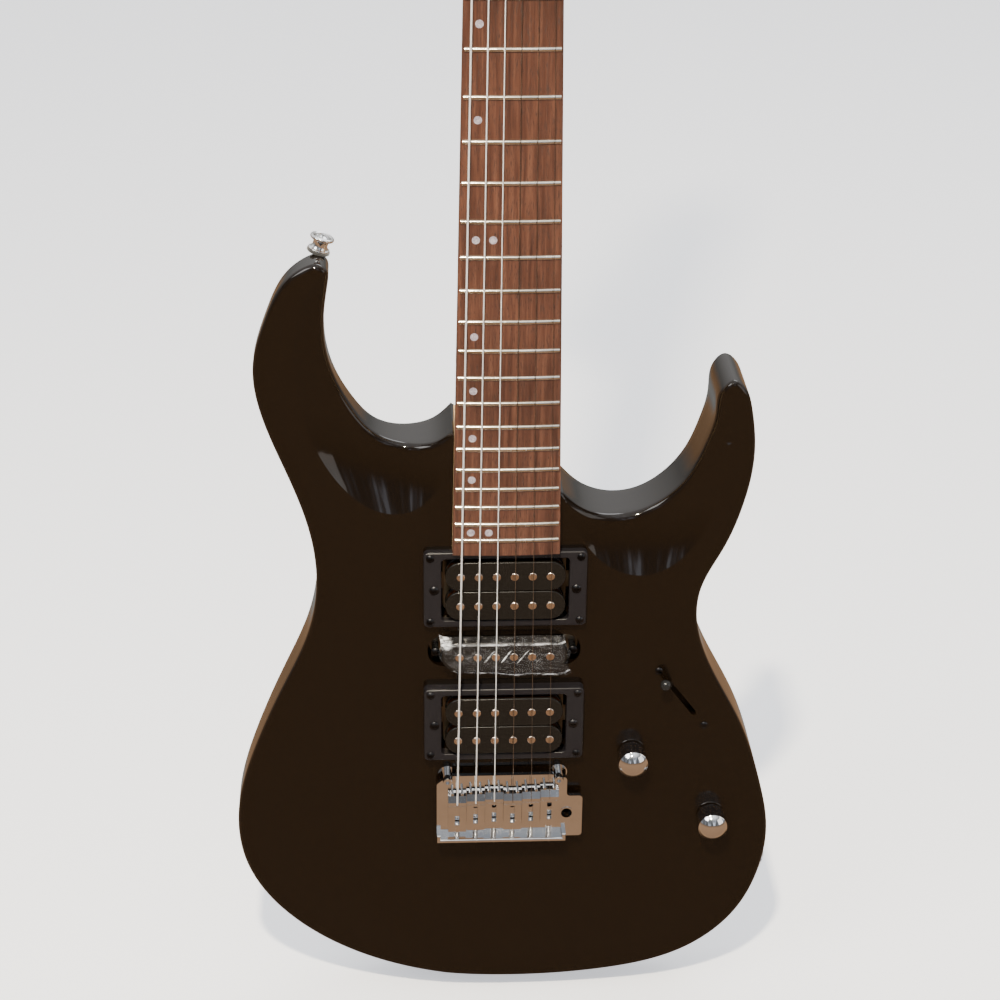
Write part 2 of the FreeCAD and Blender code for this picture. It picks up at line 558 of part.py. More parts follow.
def make_head_fittings():
    cover = prism([(-11, NUT_Z + NUT_THICK + 0.2), (11, NUT_Z + NUT_THICK + 0.2),
                   (5, NUT_Z + 43), (-5, NUT_Z + 43)], HEAD_FACE_Y - 1.6, HEAD_FACE_Y, 2.0)
    for base, axis, _ in cover_screws():
        cover = cover.cut(rod(base + axis, base - axis * 3, 1.45))
    save("truss_rod_cover", cover)
    housings, bushings = [], []
    worm_z, worm_y = 6.9, HEAD_THICK + 5.0
    for index in range(6):
        point, frame = tuner_frame(index)
        shell = box(-9, 10, HEAD_THICK, HEAD_THICK + 10, -7, 10.5)
        shell = shell.makeFillet(2.0, [e for e in shell.Edges if e.CenterOfMass.y > HEAD_THICK + 3])
        shell = shell.cut(rod(V(0, HEAD_THICK - 1, 0), V(0, HEAD_THICK + 8.5, 0), 4.5 + AIR))
        shell = shell.cut(rod(V(-6.6, worm_y, worm_z), V(6.6, worm_y, worm_z), 2.2 + AIR))
        shell = shell.cut(rod(V(0, worm_y, worm_z), V(20, worm_y, worm_z), 2.0 + RUNNING))
        shell = shell.cut(rod(V(-7, HEAD_THICK - 1, 0), V(-7, HEAD_THICK + 2, 0), 1.0))
        shell = shell.cut(rod(V(-7, HEAD_THICK + 2, 0), V(-7, HEAD_THICK + 12, 0), 2.0))
        collar = rod(V(0, -2.6, 0), V(0, HEAD_THICK - 0.2, 0), 4.9).fuse(
            rod(V(0, -1.0, 0), V(0, 0, 0), 7.0)).fuse(hexagon(5.6, -3.2, -1.0))
        collar = collar.cut(rod(V(0, -5, 0), V(0, HEAD_THICK + 1, 0), TUNER_POST_RADIUS + RUNNING))
        post = lathe([(0, -HEAD_THICK - 8.0), (4.5, -HEAD_THICK - 8.0), (4.5, -HEAD_THICK - 2.0),
                      (TUNER_POST_RADIUS, -HEAD_THICK - 2.0), (TUNER_POST_RADIUS, 4.0),
                      (TUNER_POST_RADIUS - 0.5, 5.0), (TUNER_POST_RADIUS - 0.5, 9.0),
                      (TUNER_POST_RADIUS, 10.0), (TUNER_POST_RADIUS, TUNER_POST_HEIGHT - 0.6),
                      (TUNER_POST_RADIUS - 0.6, TUNER_POST_HEIGHT), (0, TUNER_POST_HEIGHT)],
                     V(0, 0, 0), FRONT)
        post = post.cut(rod(V(-5, -10.6, 0), V(5, -10.6, 0), 0.7))
        shaft = rod(V(-6.4, worm_y, worm_z), V(6.4, worm_y, worm_z), 2.2).fuse(
            rod(V(6.4, worm_y, worm_z), V(22, worm_y, worm_z), 2.0))
        collar_ring = rod(V(10.4, worm_y, worm_z), V(12.4, worm_y, worm_z), 3.6)
        paddle = box(20, 33, worm_y - 3, worm_y + 3, worm_z - 9.5, worm_z + 9.5)
        paddle = paddle.makeFillet(2.9, paddle.Edges)
        button = shaft.fuse([collar_ring, paddle])
        for shape in (shell, collar, post, button):
            shape.Placement = frame.multiply(shape.Placement)
        housings.append(shell)
        bushings.append(collar)
        save(f"tuner_post_{index + 1}", post)
        save(f"tuner_button_{index + 1}", button)
    save("tuner_housings", housings)
    save("tuner_bushings", bushings)


def hexagon(apothem, y0, y1):
    reach = apothem / math.cos(math.pi / 6)
    corners = [(reach * math.cos(math.pi * k / 3), reach * math.sin(math.pi * k / 3))
               for k in range(6)]
    return prism(corners, y0, y1)


# ---- strings ---------------------------------------------------------------------------
TREES = [(0.5, 42.0), (2.5, 66.0)]    # strings counted from the treble side, over the nut


def nut_string_y(index):
    return FRET_Y - NUT_RISE - GAUGES[index] / 2 + (board_arc(0, string_x(index, NUT_Z)))


def tree_y():
    return HEAD_FACE_Y - 4.0


def string_route(index):
    """Ball end, plate, saddle crest, nut, string tree and tuner post, as points."""
    gauge = GAUGES[index]
    x = string_x(index, SADDLES_Z)
    crest = PLATE_Y - SADDLE_CREST - gauge / 2 - RUNNING
    points = [V(x, BLOCK_Y + BLOCK_DEEP - 8, STRING_HOLE_Z), V(x, PLATE_Y - 0.5, STRING_HOLE_Z),
              V(x, crest, SADDLES_Z + INTONATION[index])]
    points.append(V(string_x(index, NUT_Z), nut_string_y(index), NUT_Z))
    points.append(V(string_x(index, NUT_Z + NUT_THICK), nut_string_y(index) + 0.1, NUT_Z + NUT_THICK))
    centre, _ = tuner_frame(index)
    wrap = TUNER_POST_RADIUS - 0.5 + gauge / 2 + RUNNING
    end_y = HEAD_FACE_Y - 6.0
    start = points[-1]
    for middle, over in TREES:
        if abs((5 - index) - middle) < 1:
            share = (NUT_Z + over - start.z) / (centre.z - start.z)
            points.append(V(start.x + (centre.x + wrap - start.x) * share, tree_y(), NUT_Z + over))
    start = points[-1]
    flat = V(centre.x - start.x, 0, centre.z - start.z)
    lean = math.asin(wrap / flat.Length)
    toward = FreeCAD.Rotation(BACK, math.degrees(lean)).multVec(flat.normalize())
    side = toward.cross(BACK)
    if side.x < 0:
        side = side * -1
    points.append(V(centre.x, end_y, centre.z) + side * wrap)
    return points, V(centre.x, end_y, centre.z), wrap


def make_strings():
    solids = []
    for index, gauge in enumerate(GAUGES):
        points, centre, wrap = string_route(index)
        radius = gauge / 2
        pieces = [rod(a, b, radius) for a, b in zip(points, points[1:])]
        pieces += [Part.makeSphere(radius * 1.001, p) for p in points[1:]]
        ball = rod(points[0] + BACK * 3, points[0] + FRONT * 0.2, 2.0)
        coil = Part.makeTorus(wrap, radius, centre, BACK)
        solid = joined(pieces + [ball, coil])
        solids.append(solid)
    save("wound_strings", solids[:WOUND])
    save("plain_strings", solids[WOUND:])
    trees = []
    for middle, over in TREES:
        spots = [string_route(5 - int(middle + d))[0][5] for d in (-0.5, 0.5)]
        gauges = [GAUGES[5 - int(middle + d)] for d in (-0.5, 0.5)]
        x0, x1 = sorted(p.x for p in spots)
        top = tree_y() - max(gauges) / 2 - TREE_AIR
        bar = box(x0 - 1.8, x1 + 1.8, top - 1.2, top, NUT_Z + over - 3, NUT_Z + over + 3)
        bar = bar.makeFillet(0.5, [e for e in bar.Edges if e.CenterOfMass.y < top - 1.1])
        middle_x = (x0 + x1) / 2
        post = rod(V(middle_x, top, NUT_Z + over), V(middle_x, HEAD_FACE_Y, NUT_Z + over), 1.8)
        head = lathe([(0, 0), (1.8, 0), (1.8, 0.3), (0, 1.0)],
                     V(middle_x, top - 1.2, NUT_Z + over), FRONT, dome=True)
        trees += [bar, post, head]
    save("string_trees", trees)


# ---- pickups ---------------------------------------------------------------------------
def height_screw_places():
    """(x, depth of the head's seat, z) of the pickups' height screws."""
    rows = []
    for z, height in PICKUPS.values():
        rows += [(side * EAR_X, FACE_Y - height, z) for side in (-1, 1)]
    rows += [(side * SINGLE_EAR_X, FACE_Y - 1.0, MIDDLE_PICKUP_Z) for side in (-1, 1)]
    return rows


def ring_corner_screws(z, height):
    return [(V(sx * (RING_WIDTH / 2 - 3.6), FACE_Y - height, z + sz * (RING_LENGTH / 2 - 3.4)),
             FRONT, 14.0) for sx in (-1, 1) for sz in (-1, 1)]


def make_pickups():
    rings, bobbins, coils, poles, bases, magnets = [], [], [], [], [], []
    floor = FACE_Y + PICKUP_ROUTE_DEPTH
    for z, height in PICKUPS.values():
        top = FACE_Y - height
        ring = slab(0, z, RING_WIDTH, RING_LENGTH, top, FACE_Y, 2.5)
        ring = ring.makeFillet(0.8, [e for e in ring.Edges if e.BoundBox.YMax < top + 0.01])
        ring = ring.cut(slab(0, z, COIL_SPAN, 37.4, top - 1, FACE_Y + 1, 2.0))
        for base, axis, _ in ring_corner_screws(z, height):
            ring = ring.cut(rod(base + axis, base - axis * 20, 1.45))
        for side in (-1, 1):
            ring = ring.cut(rod(V(side * EAR_X, top - 1, z), V(side * EAR_X, FACE_Y + 1, z), 1.65))
        rings.append(ring)
        crown = top - BOBBIN_RISE
        for row in (-1, 1):
            zc = z + row * (BOBBIN_LENGTH / 2 + 0.2)
            shape = slab(0, zc, BOBBIN_WIDTH, BOBBIN_LENGTH, crown, crown + 11.5, 8.2)
            groove = slab(0, zc, BOBBIN_WIDTH + 4, BOBBIN_LENGTH + 4, crown + 2.2, crown + 10, 8.2)
            core = slab(0, zc, BOBBIN_WIDTH - 9, 8.0, crown + 2.2, crown + 10, 3.9)
            winding = slab(0, zc, BOBBIN_WIDTH - 2.4, BOBBIN_LENGTH - 2.4, crown + 2.2,
                           crown + 10, 7.4).cut(core)
            shape = shape.cut(groove.cut(core))
            for index in range(6):
                x = string_x(index, zc)
                pole = rod(V(x, crown - 0.7, zc), V(x, crown + 14, zc), 2.4)
                shape = shape.cut(rod(V(x, crown - 1, zc), V(x, crown + 14, zc), 2.4 + RUNNING))
                pole = pole.makeFillet(0.6, [e for e in pole.Edges if e.CenterOfMass.y < crown])
                poles.append(pole)
            bobbins.append(shape)
            coils.append(winding)
        base = slab(0, z, COIL_SPAN - 2, 36, crown + 14.2, crown + 15.4, 3)
        ears = slab(0, z, 2 * EAR_X + 4, 10, crown + 14.2, crown + 15.4, 3)
        base = base.fuse(ears)
        for side in (-1, 1):
            base = base.cut(rod(V(side * EAR_X, crown, z), V(side * EAR_X, crown + 20, z), 1.65))
        bases.append(base)
        half = BOBBIN_WIDTH / 2 - 3
        magnets.append(box(-half, half, crown + 11.5, crown + 14.2, z - 5.5, z + 5.5))
    z, crown = MIDDLE_PICKUP_Z, FACE_Y - SINGLE_RISE
    cover = slab(0, z, SINGLE_WIDTH, SINGLE_LENGTH, crown, crown + 16, 8.6)
    cover = cover.makeFillet(1.6, [e for e in cover.Edges if e.BoundBox.YMax < crown + 0.01])
    cover = cover.cut(slab(0, z, SINGLE_WIDTH - 3, SINGLE_LENGTH - 3, crown + 1.5, crown + 17, 7.3))
    flange = slab(0, z, SINGLE_WIDTH + 13, 11.0, crown + 16, crown + 17.5, 5)
    core = slab(0, z, SINGLE_WIDTH - 10, 6, crown + 2, crown + 16, 2.9)
    winding = slab(0, z, SINGLE_WIDTH - 6, 13, crown + 3, crown + 14, 6.2).cut(core)
    for index in range(6):
        x = string_x(index, z)
        cover = cover.cut(rod(V(x, crown - 1, z), V(x, crown + 4, z), 2.4 + RUNNING))
        core = core.cut(rod(V(x, crown, z), V(x, crown + 17, z), 2.4 + RUNNING))
        pole = rod(V(x, crown - 0.5, z), V(x, crown + 15.5, z), 2.4)
        poles.append(pole.makeFillet(0.5, [e for e in pole.Edges if e.CenterOfMass.y < crown]))
    for side in (-1, 1):
        ear = V(side * SINGLE_EAR_X, crown, z)
        flange = flange.cut(rod(ear, ear + BACK * 20, 1.65))
    save("pickup_rings", rings)
    save("pickup_bobbins", bobbins + [core])
    save("pickup_coils", coils + [winding])
    save("pole_pieces", poles)
    save("pickup_baseplates", bases + [flange])
    save("pickup_magnets", magnets)
    save("middle_pickup_cover", cover)
    screws, springs = [], []
    for x, y, z in height_screw_places():
        end = floor - 1.0
        screws.append(screw(V(x, y, z), FRONT, 2.6, 1.4, 1.5, end - y))
        seat = FACE_Y + 0.2 if y < FACE_Y - 2 else y + 0.2
        stop = y - BOBBIN_RISE + 14.0 if y < FACE_Y - 2 else FACE_Y + 7.8
        springs.append(tube(V(x, seat, z), V(x, stop, z), 2.0, 1.6))
    save("pickup_height_screws", screws)
    save("pickup_height_springs", springs)
    gap = 0.4
    low, high = FACE_Y - gap, crown - 3.2
    film = slab(0, z_film(), FILM_WIDTH, FILM_LENGTH, high, low, 6)
    inside = slab(0, MIDDLE_PICKUP_Z, SINGLE_WIDTH + 2 * gap, SINGLE_LENGTH + 2 * gap,
                  crown - 0.5 - gap, low + 1, 8.9)
    film = film.cut(inside)
    for x, y, z in height_screw_places()[-2:]:
        film = film.cut(rod(V(x, low + 1, z), V(x, high - 1, z), 3.2))
    save("protective_film", film)


def z_film():
    return MIDDLE_PICKUP_Z + 2.0


# ---- controls --------------------------------------------------------------------------
def slot_axes():
    angle = math.radians(-SLOT_TILT)
    return V(math.cos(angle), 0, math.sin(angle))


def slot_slab(half, width, y0, y1):
    """A slab along the selector's slot."""
    solid = slab(0, 0, 2 * half, width, y0, y1, width / 2 - 0.05)
    solid.rotate(V(0, 0, 0), BACK, SLOT_TILT)
    solid.translate(V(SLOT_AT[0], 0, SADDLES_Z + SLOT_AT[1]))
    return solid


def selector_screws():
    along = slot_axes()
    middle = at(SLOT_AT, FACE_Y)
    return [(middle + along * (side * 22.5), FRONT, CEILING + 3.0) for side in (-1, 1)]


def make_controls():
    pots, nuts = [], []
    for name, place in KNOBS.items():
        foot = at(place, FACE_Y)
        case = rod(at(place, CEILING_Y), at(place, CEILING_Y + 10), 12.0)
        neck = rod(at(place, CEILING_Y + 1), foot + FRONT * 4.0, 4.7)
        bore = rod(at(place, CEILING_Y + 9), foot + FRONT * 9, SHAFT_RADIUS + RUNNING)
        pots.append(case.fuse(neck).cut(bore))
        nut = rod(foot, foot + FRONT * 0.6, 6.3).fuse(
            rod(foot + FRONT * 0.6, foot + FRONT * 3.0, 6.0))
        nuts.append(nut.cut(rod(foot + BACK, foot + FRONT * 5, 4.7)))
        knob = lathe([(0, 0.8), (KNOB_RADIUS, 0.8), (KNOB_RADIUS, KNOB_HEIGHT - 4.6),
                      (KNOB_RADIUS + 0.7, KNOB_HEIGHT - 4.2), (KNOB_RADIUS + 0.7, KNOB_HEIGHT - 3.2),
                      (0, KNOB_HEIGHT)], foot, FRONT, dome=True)
        knob = knob.cut(rod(foot, foot + FRONT * 5.5, 6.7))
        knob = knob.cut(rod(foot, foot + FRONT * 13, SHAFT_RADIUS))
        shaft = rod(at(place, CEILING_Y + 8), foot + FRONT * 13, SHAFT_RADIUS)
        save(f"{name}_knob", [knob, shaft])
    save("control_pots", pots)
    along = slot_axes()
    centre = at(SLOT_AT, CEILING_Y)
    pivot = at(SLOT_AT, FACE_Y + LEVER_PIVOT)
    side = along.cross(BACK)
    plate = slot_slab(26.0, 12.0, CEILING_Y, CEILING_Y + 1.2)
    plate = plate.cut(slot_slab(SLOT_HALF, SLOT_WIDTH, CEILING_Y - 1, CEILING_Y + 3))
    for base, axis, length in selector_screws():
        plate = plate.cut(rod(base, base - axis * 20, 1.4))
    cheeks = []
    for hand in (-1, 1):
        cheek = slot_slab(8.0, 1.2, CEILING_Y + 1.2, FACE_Y + LEVER_PIVOT + 5)
        cheek.translate(side * (hand * 4.4))
        cheeks.append(cheek.cut(rod(pivot - side * 8, pivot + side * 8, 1.5 + RUNNING)))
    save("selector_frame", joined([plate] + cheeks))
    tilt = math.radians(LEVER_TILT)
    reach = along * -math.sin(tilt) + FRONT * math.cos(tilt)
    blade = Part.makeBox(2.4, 1.3, LEVER_LENGTH - 6, V(-1.2, -0.65, 0))
    blade.Placement = FreeCAD.Placement(pivot, FreeCAD.Rotation(side.cross(reach), side, reach, "ZYX"))
    hub = rod(pivot - side * 3.4, pivot + side * 3.4, 3.0).fuse(
        rod(pivot - side * 5.6, pivot + side * 5.6, 1.5))
    tip = lathe([(0, LEVER_LENGTH - 11), (2.2, LEVER_LENGTH - 11), (3.0, LEVER_LENGTH - 2.0),
                 (0, LEVER_LENGTH)], pivot, reach, dome=True)
    save("selector_lever", joined([blade, hub, tip]))
    point, aim = jack_place()
    seat = point - aim * 2.5
    dish = lathe([(4.9, 0), (14, 0), (14, 1.6), (13.2, 2.2), (7.5, 2.2), (6.5, 1.2), (4.9, 1.2)],
                 seat, aim)
    for hand in (-1, 1):
        dish = dish.cut(rod(seat + BACK * (hand * 10.6) - aim, seat + BACK * (hand * 10.6) + aim * 5, 1.45))
    save("jack_plate", dish)
    barrel = lathe([(PLUG_RADIUS, -28), (9.0, -28), (9.0, 0), (4.8, 0), (4.8, 4.0), (PLUG_RADIUS, 4.0)],
                   seat, aim)
    save("output_jack", barrel)
    ring = rod(seat + aim * 1.25, seat + aim * 3.2, 6.2).cut(rod(seat, seat + aim * 9, 4.8))
    save("panel_nuts", nuts + [ring])
    save("control_cover", covered(control_cavity(REAR_Y - COVER_THICK, REAR_Y, 5.0)))
    start = at((KNOBS["volume"][0] + 20, KNOBS["volume"][1] - 22), CEILING_Y + 16)
    save("tone_capacitor", rod(start, start + V(12, 0, -10), 3.0))


def back_screws():
    """Screws of the two back covers: base of the head, axis and length."""
    volume, tone = KNOBS["volume"], KNOBS["tone"]
    spots = [(volume[0] - 17.5, volume[1] - 16.5), (tone[0] + 13, tone[1] - 17.5),
             (SLOT_AT[0] - 3, SLOT_AT[1] + 28.2), (SLOT_AT[0] + 28, SLOT_AT[1] - 23)]
    half = SPRING_CAVITY_WIDTH / 2 + 3.2
    spots += [(side * half, z) for side in (-1, 1) for z in (-26.0, 42.0, 106.0)]
    return [(at(p, REAR_Y), BACK, 12.0) for p in spots]


def jack_screws():
    point, aim = jack_place()
    return [(point - aim * 0.3 + BACK * (hand * 10.6), aim, 12.0) for hand in (-1, 1)]


def small_screws():
    rows = selector_screws() + back_screws() + jack_screws()
    for z, height in PICKUPS.values():
        rows += ring_corner_screws(z, height)
    return rows


def covered(plate):
    for base, axis, _ in back_screws():
        plate = plate.cut(rod(base + axis, base - axis * 5, 1.45))
    return plate


def spring_cover_seat(grow, y1):
    half = SPRING_CAVITY_WIDTH / 2 + 6 + grow
    return prism([(-half, SADDLES_Z - 31 - grow), (half, SADDLES_Z - 31 - grow),
                  (half, CLAW_Z + 19 + grow), (-half, CLAW_Z + 19 + grow)],
                 REAR_Y - COVER_THICK, y1, 5.0)


# ---- tremolo ---------------------------------------------------------------------------
def make_tremolo():
    def z(over):
        return SADDLES_Z + over
    tail = z(-PLATE_TAIL)
    wing = PLATE_RIGHT + ARM_WING
    plate = prism([(PLATE_LEFT, tail), (wing, tail), (wing, z(-4)), (PLATE_RIGHT, z(-4)),
                   (PLATE_RIGHT, z(8)), (28, z(PLATE_NOSE)), (-28.5, z(PLATE_NOSE)),
                   (-34, z(8.4)), (PLATE_LEFT, z(5.3))],
                  PLATE_Y, PLATE_Y + PLATE_THICK, 2.0)
    lip = box(PLATE_LEFT, PLATE_RIGHT - 0.5, PLATE_Y - 6.0, PLATE_Y + 1, tail, tail + 2.2)
    plate = plate.fuse(lip.makeFillet(0.9, [e for e in lip.Edges if e.CenterOfMass.y < PLATE_Y - 5]))
    arm = at(ARM_AT, PLATE_Y)
    for left in (PLATE_LEFT, PLATE_RIGHT - 0.5 - 2.2):
        end = box(left, left + 2.2, PLATE_Y - 6.0, PLATE_Y + 1, tail, tail + LIP_RETURN)
        plate = plate.fuse(end.makeFillet(0.9, [e for e in end.Edges if e.CenterOfMass.y < PLATE_Y - 5]))
    plate = plate.fuse(rod(arm + BACK * 5.0, arm + FRONT * 0.4, ARM_BUSH))
    plate = plate.cut(rod(arm + BACK * 6, arm + FRONT * 5, ARM_HOLE_RADIUS))
    for side in (-1, 1):
        post = V(side * POST_SPACING / 2, PLATE_Y - 5, POST_Z)
        plate = plate.cut(rod(post, post + BACK * 15, POST_RADIUS + AIR))
        notch = POST_RADIUS + AIR
        plate = plate.cut(box(post.x - notch, post.x + notch, PLATE_Y - 5, PLATE_Y + 10,
                              POST_Z, POST_Z + 9))
    for index in range(6):
        x = string_x(index, SADDLES_Z)
        plate = plate.cut(rod(V(x, PLATE_Y - 1, STRING_HOLE_Z), V(x, PLATE_Y + 6, STRING_HOLE_Z), 1.6))
        plate = plate.cut(rod(V(x, PLATE_Y - SCREW_RISE, tail - 1),
                              V(x, PLATE_Y - SCREW_RISE, tail + 3), SCREW_HOLE))
    block = box(-BLOCK_WIDTH / 2, BLOCK_WIDTH / 2, BLOCK_Y, BLOCK_Y + BLOCK_DEEP,
                z(-3.5 - BLOCK_THICK), z(-3.5))
    for index in range(6):
        x = string_x(index, SADDLES_Z)
        mouth = V(x, BLOCK_Y - 1, STRING_HOLE_Z)
        block = block.cut(rod(mouth, mouth + BACK * BLOCK_DEEP, 1.2))
        block = block.cut(rod(V(x, BLOCK_Y + BLOCK_DEEP + 1, STRING_HOLE_Z),
                              V(x, BLOCK_Y + BLOCK_DEEP - 8.2, STRING_HOLE_Z), 2.4))
    saddles, screws, springs, feet = [], [], [], []
    top = PLATE_Y
    for index in range(6):
        x = string_x(index, SADDLES_Z)
        c = z(INTONATION[index])
        half = SADDLE_WIDTH / 2
        profile = [(5.8, 0.9), (5.6, 1.6), (4.4, 4.8), (0.6, SADDLE_CREST), (-0.9, SADDLE_CREST),
                   (-2.6, SADDLE_CREST - 0.9), (-3.4, 4.6),
                   (-SADDLE_TAIL, 4.6), (-SADDLE_TAIL, 0.9)]
        corners = [V(x - half, top - h, c + l) for l, h in profile]
        saddle = Part.Face(Part.makePolygon(corners + corners[:1])).extrude(V(SADDLE_WIDTH, 0, 0))
        saddle = saddle.cut(box(x - 1.3, x + 1.3, top - 9, top, c + SADDLE_SLOT[0], c + SADDLE_SLOT[1]))
        tapped = V(x, top - SCREW_RISE, c - SADDLE_TAIL - 1)
        saddle = saddle.cut(rod(tapped, tapped + UP * 6, SCREW_HOLE))
        route, _, _ = string_route(index)
        saddle = saddle.cut(rod(route[1], route[2], GAUGES[index] / 2 + RUNNING))
        saddle = saddle.cut(Part.makeSphere(GAUGES[index] / 2 + RUNNING, route[2]))
        for side in (-1, 1):
            foot = V(x + side * FOOT_X, top, c + 5.5)
            saddle = saddle.cut(rod(foot, foot + FRONT * 9, FOOT_RADIUS))
            feet.append(rod(foot, foot + FRONT * 5.4, FOOT_RADIUS))
        saddles.append(saddle)
        length = c - SADDLE_TAIL + 4.5 - tail
        screws.append(screw(V(x, top - SCREW_RISE, tail), -UP, 2.1, 1.4, SCREW_HOLE - RUNNING, length))
        springs.append(tube(V(x, top - SCREW_RISE, tail + 2.4),
                            V(x, top - SCREW_RISE, c - SADDLE_TAIL - 0.2), 1.5, 1.0))
    for gap in (0.5, 2.5, 4.5):
        seat = V(string_x(gap, SADDLES_Z), PLATE_Y, z(-11.5))
        plug = lathe([(0, -12), (1.9, -12), (1.9, -1.4), (3.2, 0), (0, 0)], seat, FRONT)
        screws.append(plug)
        block = block.cut(plug)
        plate = plate.cut(plug)
    save("tremolo_plate", plate)
    save("sustain_block", block)
    save("saddles", saddles)
    save("saddle_screws", screws + feet)
    save("intonation_springs", springs)
    posts, bushings = [], []
    for side in (-1, 1):
        foot = V(side * POST_SPACING / 2, FACE_Y, POST_Z)
        posts.append(lathe([(0, -14), (3.0, -14), (3.0, 0.4), (POST_RADIUS, 0.4),
                            (POST_RADIUS, PLATE_TOP + 1.2),
                            (POST_HEAD, PLATE_TOP + 1.2), (POST_HEAD, PLATE_TOP + 2.2),
                            (POST_RADIUS, PLATE_TOP + 2.7), (0, PLATE_TOP + 2.7)], foot, FRONT).cut(
            rod(foot + FRONT * (PLATE_TOP + 1.2), foot + FRONT * (PLATE_TOP + 4), 1.2)))
        sleeve = lathe([(3.0, -20), (POST_RADIUS + 2, -20), (POST_RADIUS + 2, 0), (POST_RADIUS + 2.8, 0),
                        (POST_RADIUS + 2.8, 0.4), (3.0, 0.4)], foot, FRONT)
        bushings.append(sleeve)
    save("pivot_posts", posts)
    save("post_bushings", bushings)
    claw = box(-25, 25, SPRING_Y - 4.5, SPRING_Y + 5, CLAW_Z, CLAW_Z + 1.6)
    coils = []
    for x in (-20.0, 0.0, 20.0):
        low, high = z(-3.5), CLAW_Z
        coils.append(tube(V(x, SPRING_Y, low + 6), V(x, SPRING_Y, high - 6), 3.8, 2.6).fuse(
            [rod(V(x, SPRING_Y, low + 0.3), V(x, SPRING_Y, low + 7), 3.0),
             rod(V(x, SPRING_Y, high - 7), V(x, SPRING_Y, high - 0.3), 3.0)]))
    screws = []
    for side in (-1, 1):
        base = V(side * CLAW_SCREW_X, SPRING_Y, CLAW_Z)
        claw = claw.cut(rod(base - UP * 3, base + UP * 4, 1.8))
        screws.append(screw(base, -UP, 3.4, 2.2, 1.7, 42.0))
    save("tremolo_springs", coils)
    save("spring_claw", claw)
    cover = spring_cover_seat(0, REAR_Y)
    cover = cover.cut(slab(0, STRING_HOLE_Z, 66, 17, REAR_Y - 5, REAR_Y + 5, 3))
    save("spring_cover", covered(cover))
    return screws


# ---- strap buttons, ferrules and screws --------------------------------------------------
def strap_pins():
    """Base on the body and axis of each strap button."""
    lean = math.radians(17)
    tip = V(-98.5 * BODY_WIDTH / DRAWN_WIDTH, 0, HEEL_Z + 163.6)
    return [(V(0, 0, BUTT_Z), -UP), (tip, V(math.sin(lean), 0, math.cos(lean)))]


def make_fasteners(claw_screws):
    washers, buttons, large = [], [], list(claw_screws)
    for base, axis in strap_pins():
        seat = base + axis * PIN_WASHER
        washers.append(tube(base, seat, PIN_RADIUS - 0.2, 2.3))
        waist = PIN_BASE + PIN_WAIST
        total = waist + PIN_FLANGE
        buttons.append(lathe([(2.3, 0), (PIN_RADIUS - 0.8, 0), (PIN_RADIUS - 0.8, PIN_BASE * 0.6),
                              (PIN_WAIST_RADIUS, PIN_BASE), (PIN_WAIST_RADIUS, waist),
                              (PIN_RADIUS, waist + 0.8), (PIN_RADIUS, total - 0.9),
                              (PIN_RADIUS - 0.9, total), (4.4, total), (4.4, total - 2.2),
                              (2.3, total - 2.2)], seat, axis))
        large.append(screw(seat + axis * (total - 2.2), axis, 4.2, 2.0, 2.15, 30.0))
    ferrules = []
    for place in NECK_SCREWS:
        base = neck_screw_base(place)
        ferrules.append(lathe([(2.5, -3), (7, -3), (7, -0.2), (6.4, 0.2), (4.6, 0.2), (4.6, -1.8),
                               (2.5, -1.8)], base, BACK))
        large.append(screw(base + FRONT * 1.8, BACK, 4.2, 1.9, 2.2, BODY_THICK - POCKET_DEPTH + 12))
    save("strap_button_washers", washers)
    save("strap_buttons", buttons)
    save("neck_ferrules", ferrules)
    large += [screw(base, axis, 1.9, 1.0, 0.95, length) for base, axis, length in head_screws()]
    save("bright_screws", large)
    rows = small_screws() + cover_screws()
    save("small_black_screws", [screw(base, axis, length=length) for base, axis, length in rows])


make_body()
make_neck()
make_board()
make_nut()
make_head_fittings()
make_strings()
make_pickups()
make_controls()
make_fasteners(make_tremolo())
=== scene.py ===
import json
import math

import bmesh
import bpy
import numpy as np
from mathutils import Matrix, Vector
from mathutils.geometry import convex_hull_2d, delaunay_2d_cdt


